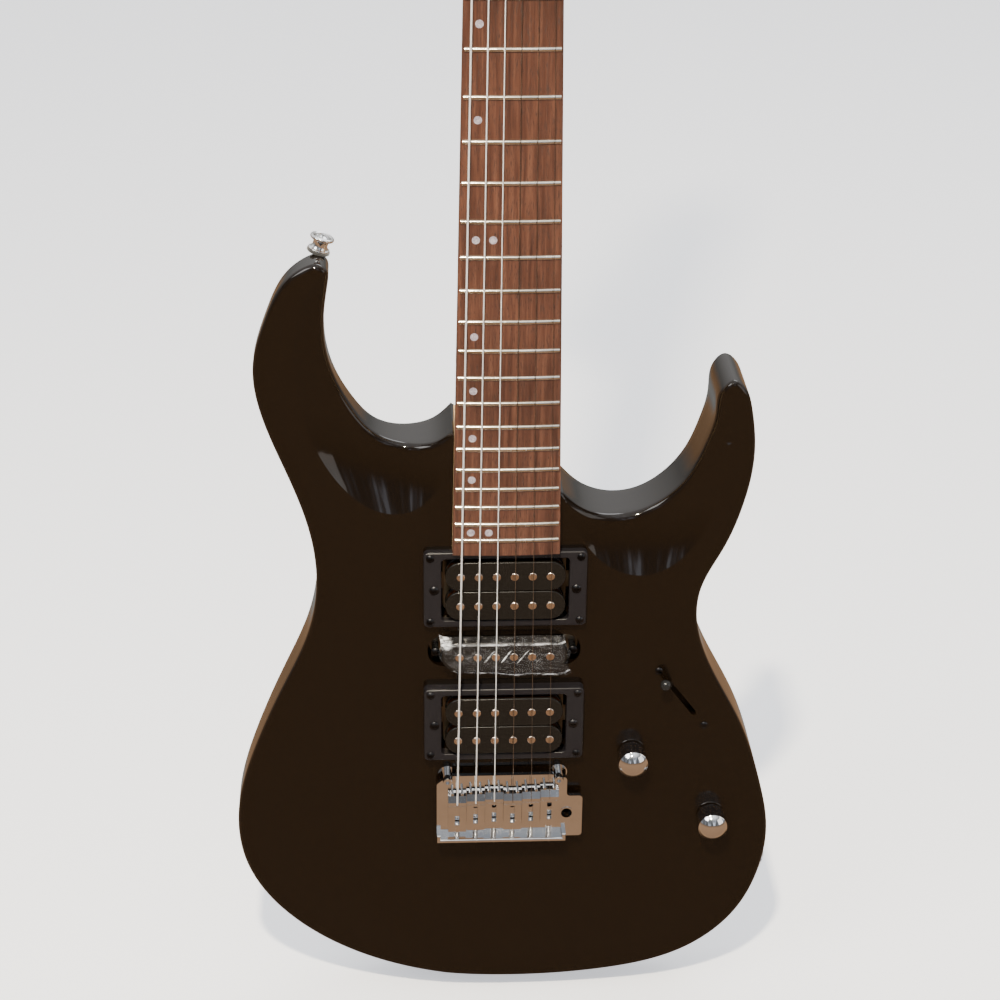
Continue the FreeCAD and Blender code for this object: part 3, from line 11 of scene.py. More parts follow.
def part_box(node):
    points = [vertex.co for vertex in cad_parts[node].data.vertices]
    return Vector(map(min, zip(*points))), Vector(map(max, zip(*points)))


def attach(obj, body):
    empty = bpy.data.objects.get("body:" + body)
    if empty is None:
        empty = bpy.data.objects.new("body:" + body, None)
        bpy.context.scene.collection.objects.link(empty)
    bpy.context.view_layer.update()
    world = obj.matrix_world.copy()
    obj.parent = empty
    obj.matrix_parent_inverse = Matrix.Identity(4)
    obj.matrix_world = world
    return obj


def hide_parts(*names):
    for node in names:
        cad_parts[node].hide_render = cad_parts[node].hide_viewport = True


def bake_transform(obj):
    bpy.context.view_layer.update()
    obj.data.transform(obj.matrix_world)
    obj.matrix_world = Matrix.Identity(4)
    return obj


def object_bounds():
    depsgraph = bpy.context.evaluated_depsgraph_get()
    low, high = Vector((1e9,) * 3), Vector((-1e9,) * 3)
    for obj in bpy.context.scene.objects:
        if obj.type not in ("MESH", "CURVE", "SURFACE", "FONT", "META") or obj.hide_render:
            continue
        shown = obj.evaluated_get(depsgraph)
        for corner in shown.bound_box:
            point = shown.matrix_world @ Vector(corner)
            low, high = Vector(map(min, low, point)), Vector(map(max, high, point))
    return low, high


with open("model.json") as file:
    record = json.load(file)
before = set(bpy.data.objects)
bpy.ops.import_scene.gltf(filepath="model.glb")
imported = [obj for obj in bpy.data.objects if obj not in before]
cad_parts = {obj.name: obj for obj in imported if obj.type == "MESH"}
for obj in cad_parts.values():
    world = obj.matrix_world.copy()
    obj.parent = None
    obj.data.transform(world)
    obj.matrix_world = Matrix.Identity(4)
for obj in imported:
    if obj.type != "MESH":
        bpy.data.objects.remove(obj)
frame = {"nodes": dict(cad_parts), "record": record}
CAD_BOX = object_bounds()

# Electric guitar, metres.  +Z runs up the neck, the front faces -Y, +X is the treble side.
# Sizes below are in millimetres and are turned to metres where a mesh is made.
MM = 0.001

# ---- places read from the frame ----------------------------------------------------------


def low(node, axis):
    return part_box(node)[0][axis] / MM


def high(node, axis):
    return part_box(node)[1][axis] / MM


FACE_Y = low("body", 1)
REAR_Y = high("body", 1)
HEEL_Z = low("fingerboard", 2)
NUT_Z = low("nut", 2)
NUT_END_Z = high("nut", 2)
SCALE = 648.0
SADDLES_Z = NUT_Z - SCALE
HEAD_FACE_Y = high("truss_rod_cover", 1)
BOARD_RADIUS = 400.0
SPREAD_NUT = 36.2
SPREAD_BRIDGE = 52.5
GAUGES = [1.07, 0.81, 0.61, 0.41, 0.33, 0.25]
INTONATION = [-4.0, -3.0, -2.0, -3.0, -2.0, -1.0]
PLATE_Y = FACE_Y - 7.0
SADDLE_CREST = 6.4
NECK_PICKUP_Z = HEEL_Z - 24.0
MIDDLE_PICKUP_Z = NECK_PICKUP_Z - 40.5
BRIDGE_PICKUP_Z = SADDLES_Z + 44.0
POST_X, POST_Z = 31.65, SADDLES_Z + 8.0
RING_HEIGHTS = {NECK_PICKUP_Z: 4.5, BRIDGE_PICKUP_Z: 6.5}
BOBBIN_RISE = 2.0
RIM = 3.0                    # rounding of the body's edges
EDGE_STEP = 1.1              # spacing of points along the body's outline


# ---- small mesh tools --------------------------------------------------------------------
def grid_faces(rows, columns, close_rows=False, close_columns=False):
    """Quads of a grid whose points run row by row; a closed way joins its last line to its
    first."""
    r = np.arange(rows if close_rows else rows - 1)[:, None]
    c = np.arange(columns if close_columns else columns - 1)[None, :]
    r2, c2 = (r + 1) % rows, (c + 1) % columns
    quads = np.stack([r * columns + c, r * columns + c2, r2 * columns + c2, r2 * columns + c], -1)
    return quads.reshape(-1, 4)


class Shape:
    """Points in millimetres and faces, gathered from several surfaces."""

    def __init__(self):
        self.points, self.faces, self.count = [], [], 0

    def add(self, points, faces):
        points = np.asarray(points, float).reshape(-1, 3)
        self.points.append(points)
        self.faces += (np.asarray(faces) + self.count).tolist()
        self.count += len(points)

    def build(self, name, material, sharp=30.0, merge=0.002, recalc=True):
        mesh = bpy.data.meshes.new(name)
        mesh.from_pydata((np.vstack(self.points) * MM).tolist(), [], self.faces)
        b = bmesh.new()
        b.from_mesh(mesh)
        if merge:
            bmesh.ops.remove_doubles(b, verts=b.verts, dist=merge * MM)
        if recalc:
            bmesh.ops.recalc_face_normals(b, faces=b.faces)
        b.to_mesh(mesh)
        b.free()
        mesh.polygons.foreach_set("use_smooth", np.ones(len(mesh.polygons), bool))
        mesh.set_sharp_from_angle(angle=math.radians(sharp))
        thing = bpy.data.objects.new(name, mesh)
        bpy.context.scene.collection.objects.link(thing)
        thing.data.materials.append(material)
        return thing


def frame_of(axis):
    """Two unit vectors square to an axis."""
    axis = np.asarray(axis, float) / np.linalg.norm(axis)
    helper = np.array([0, 0, 1.0]) if abs(axis[2]) < 0.9 else np.array([1.0, 0, 0])
    u = np.cross(helper, axis)
    u /= np.linalg.norm(u)
    return axis, u, np.cross(axis, u)


def lathe(shape, profile, base, axis, segments=48, wave=None):
    """A profile of (radius, height) turned about axis through base; wave adds to the radius
    at each (profile row, angle)."""
    profile = np.asarray(profile, float)
    axis, u, v = frame_of(axis)
    angle = np.linspace(0, 2 * np.pi, segments, endpoint=False)
    radius = profile[:, :1] + (0 if wave is None else wave(angle[None, :], profile[:, 1:2]))
    ring = np.cos(angle)[:, None] * u + np.sin(angle)[:, None] * v
    points = np.asarray(base) + radius[..., None] * ring + profile[:, 1, None, None] * axis
    shape.add(points, grid_faces(len(profile), segments, close_columns=True))


def arc(centre, radius, start, end, steps):
    """Points of a circular arc in a profile's plane, angles in degrees."""
    a = np.radians(np.linspace(start, end, steps))
    return [(centre[0] + radius * math.cos(t), centre[1] + radius * math.sin(t)) for t in a]


def rounded_rect(width, length, corner, steps=8):
    """(x, z) of a rectangle with round corners, round its middle, anticlockwise."""
    corner = max(min(corner, width / 2 - 1e-3, length / 2 - 1e-3), 1e-3)
    turns = np.radians(np.linspace(0, 90, steps))
    quarter = np.stack([np.cos(turns), np.sin(turns)], 1) * corner
    out = []
    for k, (sx, sz) in enumerate(((1, 1), (-1, 1), (-1, -1), (1, -1))):
        c, s = math.cos(k * math.pi / 2), math.sin(k * math.pi / 2)
        turned = quarter @ np.array([[c, s], [-s, c]])
        out.append(turned + [sx * (width / 2 - corner), sz * (length / 2 - corner)])
    return np.vstack(out)


def rect_loop(width, length, corner, steps, y, z):
    """A rounded rectangle laid at depth y, its middle at height z."""
    loop = rounded_rect(width, length, corner, steps)
    return np.stack([loop[:, 0], np.full(len(loop), y), loop[:, 1] + z], 1)


def stack(shape, loops, close=False, cap_first=False, cap_last=False):
    """Loops with the same number of points joined into one skin; a cap is a fan to the middle."""
    grid = np.stack(loops)
    rows, columns = grid.shape[:2]
    shape.add(grid, grid_faces(rows, columns, close_rows=close, close_columns=True))
    for wanted, loop in ((cap_first, grid[0]), (cap_last, grid[-1])):
        if wanted:
            fan = np.vstack([loop, loop.mean(0)])
            i = np.arange(columns)
            shape.add(fan, np.stack([i, (i + 1) % columns, np.full(columns, columns)], 1))


def sweep(shape, path, radius, sides):
    """A tube along a path: at each point a circle square to the path's direction, its frame
    carried from the fixed -Y direction."""
    path = np.asarray(path, float)
    along = np.gradient(path, axis=0)
    along /= np.linalg.norm(along, axis=1)[:, None]
    side = np.cross(along, [0.17, -0.97, 0.13])
    side /= np.linalg.norm(side, axis=1)[:, None]
    up = np.cross(along, side)
    a = np.linspace(0, 2 * np.pi, sides, endpoint=False)
    ring = np.cos(a)[None, :, None] * side[:, None] + np.sin(a)[None, :, None] * up[:, None]
    stack(shape, list(path[:, None] + radius * ring), cap_first=True, cap_last=True)


def smoothstep(x):
    x = np.clip(x, 0, 1)
    return x * x * (3 - 2 * x)


def spline(points, step):
    """A smooth curve through points: piecewise cubics over the chord length whose second
    derivatives match and vanish at both ends, sampled about every step."""
    p = np.asarray(points, float)
    t = np.concatenate([[0], np.cumsum(np.linalg.norm(np.diff(p, axis=0), axis=1))])
    h = np.diff(t)
    n = len(p)
    m = np.eye(n)
    rhs = np.zeros((n, p.shape[1]))
    k = np.arange(1, n - 1)
    m[k, k - 1], m[k, k], m[k, k + 1] = h[:-1], 2 * (h[:-1] + h[1:]), h[1:]
    slope = np.diff(p, axis=0) / h[:, None]
    rhs[1:-1] = 6 * np.diff(slope, axis=0)
    bend = np.linalg.solve(m, rhs)
    s = np.linspace(0, t[-1], int(t[-1] / step) + 1)
    i = np.clip(np.searchsorted(t, s, side="right") - 1, 0, n - 2)
    a, b, w = (s - t[i])[:, None], (t[i + 1] - s)[:, None], h[i][:, None]
    return (bend[i] * b ** 3 + bend[i + 1] * a ** 3) / (6 * w) + (
        p[i] / w - bend[i] * w / 6) * b + (p[i + 1] / w - bend[i + 1] * w / 6) * a


def board_arc(y, x):
    """Depth at x of the fingerboard's arc whose crown is at y."""
    return y + BOARD_RADIUS - np.sqrt(BOARD_RADIUS ** 2 - np.asarray(x, float) ** 2)


def string_x(index, z):
    """Where a string runs at height z: the six spread out evenly from nut to bridge."""
    spread = SPREAD_BRIDGE + (SPREAD_NUT - SPREAD_BRIDGE) * (z - SADDLES_Z) / SCALE
    return spread * (index / 5 - 0.5)


# ---- materials ---------------------------------------------------------------------------
def new_group(name, inputs, outputs):
    """A shader node group with number sockets; returns it and its two ends."""
    group = bpy.data.node_groups.new(name, "ShaderNodeTree")
    for label, value in inputs:
        socket = group.interface.new_socket(label, in_out="INPUT", socket_type="NodeSocketFloat")
        socket.default_value = value
    for label in outputs:
        group.interface.new_socket(label, in_out="OUTPUT", socket_type="NodeSocketFloat")
    return group, group.nodes.new("NodeGroupInput"), group.nodes.new("NodeGroupOutput")


def node(tree, kind, inputs=None, **settings):
    """A node with its settings, and its sockets set or linked."""
    made = tree.nodes.new(kind)
    for key, value in settings.items():
        setattr(made, key, value)
    for key, value in (inputs or {}).items():
        if isinstance(value, bpy.types.NodeSocket):
            tree.links.new(value, made.inputs[key])
        else:
            made.inputs[key].default_value = value
    return made


def ramp(tree, source, stops):
    made = node(tree, "ShaderNodeValToRGB", {0: source})
    elements = made.color_ramp.elements
    while len(elements) < len(stops):
        elements.new(0.5)
    for element, (place, colour) in zip(elements, stops):
        element.position = place
        element.color = (*colour, 1)
    return made.outputs[0]


def object_place(tree):
    return node(tree, "ShaderNodeTexCoord").outputs["Object"]


def stretched(tree, vector, scale, turn=(0, 0, 0)):
    return node(tree, "ShaderNodeMapping", {"Vector": vector, "Scale": scale, "Rotation": turn}).outputs[0]


def noise(tree, vector, scale, detail, **more):
    sockets = {"Vector": vector, "Scale": scale, "Detail": detail, **more}
    return node(tree, "ShaderNodeTexNoise", sockets).outputs[0]


def remap(tree, value, low_in, high_in, low_out=0.0, high_out=1.0):
    sockets = {0: value, 1: low_in, 2: high_in, 3: low_out, 4: high_out}
    return node(tree, "ShaderNodeMapRange", sockets).outputs[0]


def maths(tree, operation, *values):
    return node(tree, "ShaderNodeMath", dict(enumerate(values)), operation=operation).outputs[0]


def mixed(tree, share, a, b, blend="MIX"):
    sockets = {0: share, 6: a, 7: b}
    return node(tree, "ShaderNodeMix", sockets, data_type="RGBA", blend_type=blend).outputs[2]


def relieve(tree, shader, height, strength, distance, **settings):
    """Relief on a shader from a height; the distance is in metres."""
    sockets = {"Height": height, "Strength": strength, "Distance": distance}
    bump = node(tree, "ShaderNodeBump", sockets, **settings)
    tree.links.new(bump.outputs[0], shader.inputs["Normal"])


def make_handling_group():
    """Handling marks: soft smears and hair scratches added to a base roughness."""
    g, start, end = new_group("handling_marks", [("Base", 0.1), ("Smear", 0.1), ("Scratch", 0.1)],
                              ["Roughness"])
    place = object_place(g)
    smear = noise(g, place, 18.0, 4.0, Roughness=0.6, Distortion=0.6)
    turned = stretched(g, place, (1.0, 1.0, 0.03), (0.4, 0.9, 0.3))
    lines = remap(g, noise(g, turned, 900.0, 2.0), 0.62, 0.75)
    soft = maths(g, "MULTIPLY", remap(g, smear, 0.4, 0.75), start.outputs["Smear"])
    hair = maths(g, "MULTIPLY", lines, start.outputs["Scratch"])
    rough = maths(g, "ADD", maths(g, "ADD", soft, hair), start.outputs["Base"])
    g.links.new(rough, end.inputs["Roughness"])
    return g


def make_grain_group():
    """Wood grain along Z: long streaks of noise stretched up the neck, with open pores."""
    g, start, end = new_group("wood_grain", [("Streak", 60.0), ("Pore", 400.0)],
                              ["Grain", "Pores", "Figure"])
    place = object_place(g)
    streak = noise(g, stretched(g, place, (1.0, 1.0, 0.045)), start.outputs["Streak"], 6.0,
                   Roughness=0.62, Distortion=0.35)
    pore = noise(g, stretched(g, place, (1.0, 1.0, 0.09)), start.outputs["Pore"], 2.0)
    g.links.new(streak, end.inputs["Grain"])
    g.links.new(remap(g, pore, 0.56, 0.68), end.inputs["Pores"])
    g.links.new(noise(g, place, 11.0, 3.0), end.inputs["Figure"])
    return g


HANDLING = make_handling_group()
GRAIN = make_grain_group()


def material(name, colour, roughness=0.3, metallic=0.0, coat=0.0, **sockets):
    """A material with a Principled shader; constants are set on its own sockets."""
    m = bpy.data.materials.new(name)
    m.use_nodes = True
    shader = m.node_tree.nodes["Principled BSDF"]
    shader.inputs["Base Color"].default_value = (*colour, 1)
    shader.inputs["Roughness"].default_value = roughness
    shader.inputs["Metallic"].default_value = metallic
    shader.inputs["Coat Weight"].default_value = coat
    for key, value in sockets.items():
        shader.inputs[key.replace("_", " ")].default_value = value
    return m, m.node_tree, shader


def marked(m, base, smear, scratch):
    """Adds handling marks to a material's roughness."""
    tree, shader = m.node_tree, m.node_tree.nodes["Principled BSDF"]
    marks = node(tree, "ShaderNodeGroup", node_tree=HANDLING)
    for key, value in (("Base", base), ("Smear", smear), ("Scratch", scratch)):
        marks.inputs[key].default_value = value
    tree.links.new(marks.outputs["Roughness"], shader.inputs["Roughness"])


def lacquer(name="black_lacquer"):
    """Black lacquer under a clear coat, with a faint orange peel in the coat."""
    m, tree, shader = material(name, (0.0042, 0.0024, 0.0012), 0.16, coat=0.22, IOR=1.5,
                               Specular_IOR_Level=0.36, Coat_Roughness=0.015)
    marked(m, 0.035, 0.05, 0.05)
    relieve(tree, shader, noise(tree, object_place(tree), 240.0, 2.0), 0.05, 0.0002)
    return m


def grained(tree, streak, pore):
    """The wood grain group at a wood's own fineness."""
    grain = node(tree, "ShaderNodeGroup", node_tree=GRAIN)
    grain.inputs["Streak"].default_value = streak
    grain.inputs["Pore"].default_value = pore
    return grain.outputs


def rosewood():
    m, tree, shader = material("board_rosewood", (0.1, 0.04, 0.02), 0.45)
    grain = grained(tree, 420.0, 2600.0)
    tone = ramp(tree, grain["Grain"], [(0.3, (0.028, 0.009, 0.005)), (0.5, (0.06, 0.021, 0.011)),
                                       (0.72, (0.11, 0.043, 0.022))])
    broad = ramp(tree, grain["Figure"], [(0.35, (0.75, 0.72, 0.7)), (0.7, (1.15, 1.1, 1.05))])
    tinted = mixed(tree, 1.0, tone, broad, "MULTIPLY")
    tree.links.new(mixed(tree, grain["Pores"], tinted, (0.03, 0.011, 0.006, 1)), shader.inputs["Base Color"])
    tree.links.new(remap(tree, grain["Pores"], 0.0, 1.0, 0.38, 0.7), shader.inputs["Roughness"])
    relieve(tree, shader, grain["Pores"], 0.35, 0.0001, invert=True)
    return m


def maple():
    m, tree, shader = material("neck_maple", (0.6, 0.4, 0.2), 0.36)
    grain = grained(tree, 130.0, 1500.0)
    tone = ramp(tree, grain["Grain"], [(0.28, (0.46, 0.27, 0.12)), (0.5, (0.62, 0.41, 0.21)),
                                       (0.75, (0.72, 0.52, 0.3))])
    tree.links.new(mixed(tree, grain["Pores"], tone, (0.4, 0.23, 0.1, 1)), shader.inputs["Base Color"])
    relieve(tree, shader, grain["Grain"], 0.1, 0.0001)
    return m


def grained_plastic(name, colour, roughness, size, strength):
    """Moulded plastic: a fine pebble in the surface over handling marks."""
    m, tree, shader = material(name, colour, roughness, Specular_IOR_Level=0.32)
    marked(m, roughness, 0.12, 0.08)
    relieve(tree, shader, noise(tree, object_place(tree), size, 3.0), strength, 0.0001)
    return m


def tinted_metal(name, dark, light, base, smear, scratch, spots=30.0):
    """Plated or bare metal whose tone drifts a little, as fingers and air leave it."""
    m, tree, shader = material(name, light, base, 1.0)
    marked(m, base, smear, scratch)
    cloud = noise(tree, object_place(tree), spots, 5.0, Roughness=0.6)
    tree.links.new(ramp(tree, cloud, [(0.35, dark), (0.62, light)]), shader.inputs["Base Color"])
    return m


def clear_film():
    """Thin clear film: nearly nothing head-on, a grey veil where it is slack, and painted
    highlights: white and more opaque where its own attribute marks a fold, corner or edge."""
    m, tree, shader = material("clear_film", (0.5, 0.51, 0.53), 0.07, IOR=1.6)
    drawn = stretched(tree, object_place(tree), (1.0, 1.0, 2.6), (0.0, 0.6, 0.0))
    cloud = noise(tree, drawn, 190.0, 5.0, Distortion=0.8)
    # painted highlight: the attribute, broken up by the cloud, raises the opacity and paints the colour white
    glint = node(tree, "ShaderNodeAttribute", attribute_name="glint").outputs["Fac"]
    lit = maths(tree, "MULTIPLY", glint, remap(tree, cloud, 0.4, 0.62, 0.25, 1.0))
    veil = remap(tree, cloud, 0.45, 0.75, 0.02, 0.12)
    tree.links.new(maths(tree, "MAXIMUM", lit, veil), shader.inputs["Alpha"])
    tree.links.new(ramp(tree, lit, [(0.0, (0.3, 0.3, 0.32)), (0.5, (0.9, 0.92, 0.95))]),
                   shader.inputs["Base Color"])
    relieve(tree, shader, cloud, 0.4, 0.0004)
    return m


def pearl():
    m, tree, shader = material("pearl_dot", (0.6, 0.57, 0.62), 0.2, coat=0.5)
    swirl = noise(tree, object_place(tree), 500.0, 3.0, Distortion=2.0)
    tree.links.new(ramp(tree, swirl, [(0.3, (0.16, 0.13, 0.17)), (0.5, (0.25, 0.22, 0.25)),
                                      (0.7, (0.36, 0.33, 0.34))]), shader.inputs["Base Color"])
    return m


def felt():
    m, tree, shader = material("pressed_felt", (0.012, 0.012, 0.013), 0.95, Sheen_Weight=0.5)
    relieve(tree, shader, noise(tree, object_place(tree), 2500.0, 4.0), 0.8, 0.0003)
    return m


def wound_wire():
    """Round wire wound on a core: ridges along the string's own UV length."""
    m, tree, shader = material("wound_wire", (0.86, 0.86, 0.87), 0.45, 0.75)
    marked(m, 0.45, 0.1, 0.0)
    along = node(tree, "ShaderNodeUVMap", uv_map="length").outputs[0]
    ridge = node(tree, "ShaderNodeTexWave", {"Vector": along, "Scale": 1.0}, wave_type="BANDS",
                 bands_direction="X", wave_profile="SIN")
    relieve(tree, shader, ridge.outputs[0], 0.6, 0.00008)
    return m


MATERIALS = {
    "body_lacquer": lacquer(),
    "head_lacquer": lacquer("head_lacquer"),
    "neck_wood": maple(),
    "board_wood": rosewood(),
    "fret_wire": tinted_metal("fret_wire", (0.62, 0.58, 0.5), (0.86, 0.82, 0.74), 0.14, 0.12, 0.1),
    "dot_shell": pearl(),
    "nut_bone": grained_plastic("nut_bone", (0.78, 0.73, 0.62), 0.35, 900.0, 0.05),
    "rod_steel": tinted_metal("rod_steel", (0.3, 0.3, 0.3), (0.5, 0.5, 0.5), 0.35, 0.2, 0.1),
    "black_plastic": grained_plastic("black_plastic", (0.008, 0.007, 0.0085), 0.34, 1500.0, 0.12),
    "bobbin_plastic": grained_plastic("bobbin_plastic", (0.006, 0.005, 0.004), 0.17, 700.0, 0.04),
    "coil_wire": tinted_metal("coil_wire", (0.25, 0.06, 0.02), (0.45, 0.14, 0.05), 0.3, 0.1, 0.0),
    "pole_metal": tinted_metal("pole_metal", (0.62, 0.5, 0.42), (0.86, 0.74, 0.64), 0.12, 0.1, 0.08),
    # The pickup metal's tones are kept dark: painted shade for where it shows in the narrow gaps beside and
    # under the bobbins.
    "pickup_metal": tinted_metal("pickup_metal", (0.16, 0.14, 0.11), (0.26, 0.23, 0.18), 0.35, 0.1, 0.1),
    "clear_film": clear_film(),
    "chrome": tinted_metal("chrome", (0.82, 0.81, 0.8), (0.93, 0.92, 0.91), 0.035, 0.1, 0.06),
    "bright_screw": tinted_metal("bright_screw", (0.6, 0.6, 0.6), (0.78, 0.78, 0.78), 0.12, 0.12, 0.1),
    "black_screw": tinted_metal("black_screw", (0.02, 0.02, 0.022), (0.06, 0.06, 0.065), 0.25, 0.1, 0.1),
    "felt": felt(),
    "zinc_block": tinted_metal("zinc_block", (0.28, 0.28, 0.3), (0.42, 0.42, 0.44), 0.42, 0.2, 0.1, 200.0),
    "spring_steel": tinted_metal("spring_steel", (0.5, 0.5, 0.5), (0.72, 0.72, 0.72), 0.2, 0.12, 0.1),
    "black_lever": grained_plastic("black_lever", (0.01, 0.01, 0.01), 0.12, 400.0, 0.02),
    "wound_string": wound_wire(),
    "plain_string": tinted_metal("plain_wire", (0.26, 0.25, 0.25), (0.42, 0.41, 0.41), 0.16, 0.1, 0.05, 90.0),
}
SLOT_OF = {row["node"]: row["material_slot"] for row in frame["record"]["subparts"]}
for name, thing in frame["nodes"].items():
    for slot in thing.material_slots:
        slot.material = MATERIALS[SLOT_OF[name]]


def settle(thing, body, slot, *nodes):
    """Rides a finished piece on its body and hides the nodes it stands for; its slot is not used."""
    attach(thing, body)
    if nodes:
        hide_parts(*nodes)


def make_piece(shape, name, sharp, body, slot, *nodes, **quality):
    settle(shape.build(name, MATERIALS[slot], sharp, **quality), body, slot, *nodes)


# ---- camera, light and floor -------------------------------------------------------------
def make_camera():
    data = bpy.data.cameras.new("view")
    camera = bpy.data.objects.new("view", data)
    bpy.context.scene.collection.objects.link(camera)
    data.sensor_width = 36.0
    data.lens = 87.53
    pitch, yaw, roll = (math.radians(a) for a in (26.335, 3.178, 0.665))
    forward = Vector((math.sin(yaw) * math.cos(pitch), math.cos(yaw) * math.cos(pitch), -math.sin(pitch)))
    right = forward.cross(Vector((0, 0, 1))).normalized()
    up = right.cross(forward)
    turned = (right * math.cos(roll) + up * math.sin(roll), up * math.cos(roll) - right * math.sin(roll))
    spot = Vector((-0.0684, -1.1937, SADDLES_Z * MM + 0.763))
    rows = Matrix((turned[0], turned[1], -forward)).transposed().to_4x4()
    camera.matrix_world = Matrix.Translation(spot) @ rows
    data.clip_start = 0.05
    bpy.context.scene.camera = camera


def make_world():
    """Room light by direction: warm boards below and in front, pale wall behind, dark room with
    upright bright bands above and in front, a bright ceiling; the camera sees a pale backdrop."""
    world = bpy.data.worlds.new("studio")
    bpy.context.scene.world = world
    world.use_nodes = True
    tree = world.node_tree
    tree.nodes.clear()
    place = node(tree, "ShaderNodeTexCoord").outputs["Generated"]
    parts = node(tree, "ShaderNodeSeparateXYZ", {0: place}).outputs
    behind = remap(tree, parts["Y"], -0.15, 0.25)
    level = remap(tree, parts["Z"], -1.0, 1.0)
    front = ramp(tree, level, [(0.0, (0.335, 0.205, 0.122)), (0.40, (0.38, 0.235, 0.14)),
                               (0.49, (0.26, 0.165, 0.10)), (0.54, (0.10, 0.10, 0.105)),
                               (0.80, (0.16, 0.17, 0.18)), (1.0, (1.3, 1.3, 1.3))])
    folds = ramp(tree, noise(tree, stretched(tree, place, (1.0, 0.3, 0.08)), 9.0, 3.0),
                 [(0.45, (0, 0, 0)), (0.6, (0.22, 0.25, 0.3)), (0.68, (1.1, 1.2, 1.4))])
    shown = mixed(tree, remap(tree, parts["Z"], 0.03, 0.14), (0, 0, 0, 1), folds)
    front = mixed(tree, 1.0, front, shown, "ADD")
    back = ramp(tree, level, [(0.0, (0.30, 0.20, 0.13)), (0.22, (0.28, 0.275, 0.26)),
                              (0.5, (0.31, 0.31, 0.30)), (0.62, (0.7, 0.7, 0.69)),
                              (0.74, (1.1, 1.1, 1.1)), (1.0, (1.3, 1.3, 1.3))])
    aside = remap(tree, maths(tree, "ABSOLUTE", parts["X"]), 0.17, 0.28)
    wood = maths(tree, "MULTIPLY", aside, remap(tree, parts["Z"], -0.02, -0.2))
    back = mixed(tree, wood, back, (0.42, 0.25, 0.14, 1))
    room = mixed(tree, behind, front, back)
    lit = node(tree, "ShaderNodeBackground", {"Color": room, "Strength": 1.0})
    pale = node(tree, "ShaderNodeBackground", {"Color": (0.80, 0.81, 0.84, 1), "Strength": 1.45})
    seen = node(tree, "ShaderNodeLightPath").outputs["Is Camera Ray"]
    both = node(tree, "ShaderNodeMixShader", {0: seen, 1: lit.outputs[0], 2: pale.outputs[0]})
    node(tree, "ShaderNodeOutputWorld", {0: both.outputs[0]})


def make_floor():
    side = 6.0
    mesh = bpy.data.meshes.new("floor")
    level = CAD_BOX[0][2] - 0.001
    corners = [(x * side, y * side, level) for x, y in ((-1, -1), (1, -1), (1, 1), (-1, 1))]
    mesh.from_pydata(corners, [], [(0, 1, 2, 3)])
    floor = bpy.data.objects.new("floor", mesh)
    bpy.context.scene.collection.objects.link(floor)
    m, _, shader = material("pale_floor", (0.86, 0.865, 0.88), 0.9)
    shader.inputs["Emission Color"].default_value = (0.9, 0.92, 0.985, 1)
    shader.inputs["Emission Strength"].default_value = 0.78
    mesh.materials.append(m)
    floor.visible_glossy = False


def make_light(name, spot, aim, size, power, colour=(1, 1, 1), diffuse=1.0):
    data = bpy.data.lights.new(name, "AREA")
    data.shape = "RECTANGLE"
    data.size, data.size_y = size
    data.energy = power
    data.color = colour
    lamp = bpy.data.objects.new(name, data)
    bpy.context.scene.collection.objects.link(lamp)
    data.diffuse_factor = diffuse
    lamp.location = spot
    lamp.rotation_euler = (Vector(aim) - Vector(spot)).to_track_quat("-Z", "Y").to_euler()


make_camera()
make_world()
make_floor()
make_light("key", (-1.6, -1.4, 2.3), (0, 0, 0.25), (1.2, 1.2), 30.0, (1.0, 0.98, 0.95))
make_light("back", (0.9, 1.6, 2.2), (0, 0, 0.3), (1.5, 0.8), 19.0, (0.96, 0.98, 1.0))
make_light("fill", (2.0, -1.2, 1.0), (0, 0, 0.3), (1.4, 1.4), 9.0, (1.0, 0.95, 0.9))
make_light("lamp", (-0.22, -1.15, 1.75), (-0.02, 0, 0.5), (0.08, 0.08), 90.0, (1.0, 0.88, 0.68), 0.08)


# ---- body --------------------------------------------------------------------------------
# The outline, as (x, height over the heel of the neck or over the saddle line).
BASS_CUTAWAY = [(-28.7, 69), (-39, 60.3), (-53, 58), (-69, 63.5), (-82, 79), (-91, 97),
                (-95.8, 118), (-95.4, 138), (-93.3, 153), (-93.6, 160), (-98, 163.8),
                (-105, 162.6), (-114.8, 155.8), (-126, 135), (-133.6, 107), (-129.5, 77),
                (-119, 48), (-107, 12)]
LOWER_BOUT = [(-103.2, 134), (-108, 102), (-123, 67), (-140, 27), (-150, -8), (-151.5, -30),
              (-147, -56), (-131, -84), (-96, -113), (-52, -130), (5, -136), (62, -132.5),
              (109, -119), (139, -92), (152, -60), (154.5, -35), (149, -4), (135, 38),
              (115, 78), (107.2, 108)]
TREBLE_CUTAWAY = [(109, -28), (120, -4), (129, 21), (134, 53), (131, 81), (126.5, 92.5),
                  (120.5, 96.5), (114.3, 91.5), (112, 76), (108, 58), (100.3, 39.4),
                  (89, 25.5), (73.4, 16), (58, 14.5), (43, 20), (31, 31.6)]
SCOOPS = [((-70.0, 93.0), 40.3, 73.3, 11.8), ((73.2, 61.0), 45.8, 79.8, 1.4)]
SCOOP_DEPTH = 12.0
FOREARM = ((-33.5, -131.0), (-98.0, -62.0), 6.0)
BELLY = ((-86.0, 0.0), (-60.0, 130.0), 16.0)
SLOT_AT = (100.6, 55.4)
SLOT_TILT = 53.0
# Openings, as width and length, and how deep they go from the front or the back.
PICKUP_HOLE, PICKUP_DEEP = (74.0, 40.0), 20.0
MIDDLE_HOLE = (85.0, 19.4)
SLOT_HOLE, SLOT_DEEP = (27.2, 3.0), 7.0
BLOCK_HOLE, BLOCK_HOLE_DEEP, BLOCK_HOLE_Z = (69.0, 29.0), 25.0, SADDLES_Z - 12.5
POST_HOLE, POCKET_DEEP = 8.8, 16.0
CAVITY, CAVITY_DEEP, CAVITY_Z = (84.0, 137.0), 17.0, SADDLES_Z + 41.5
COVER_SEAT = 2.2


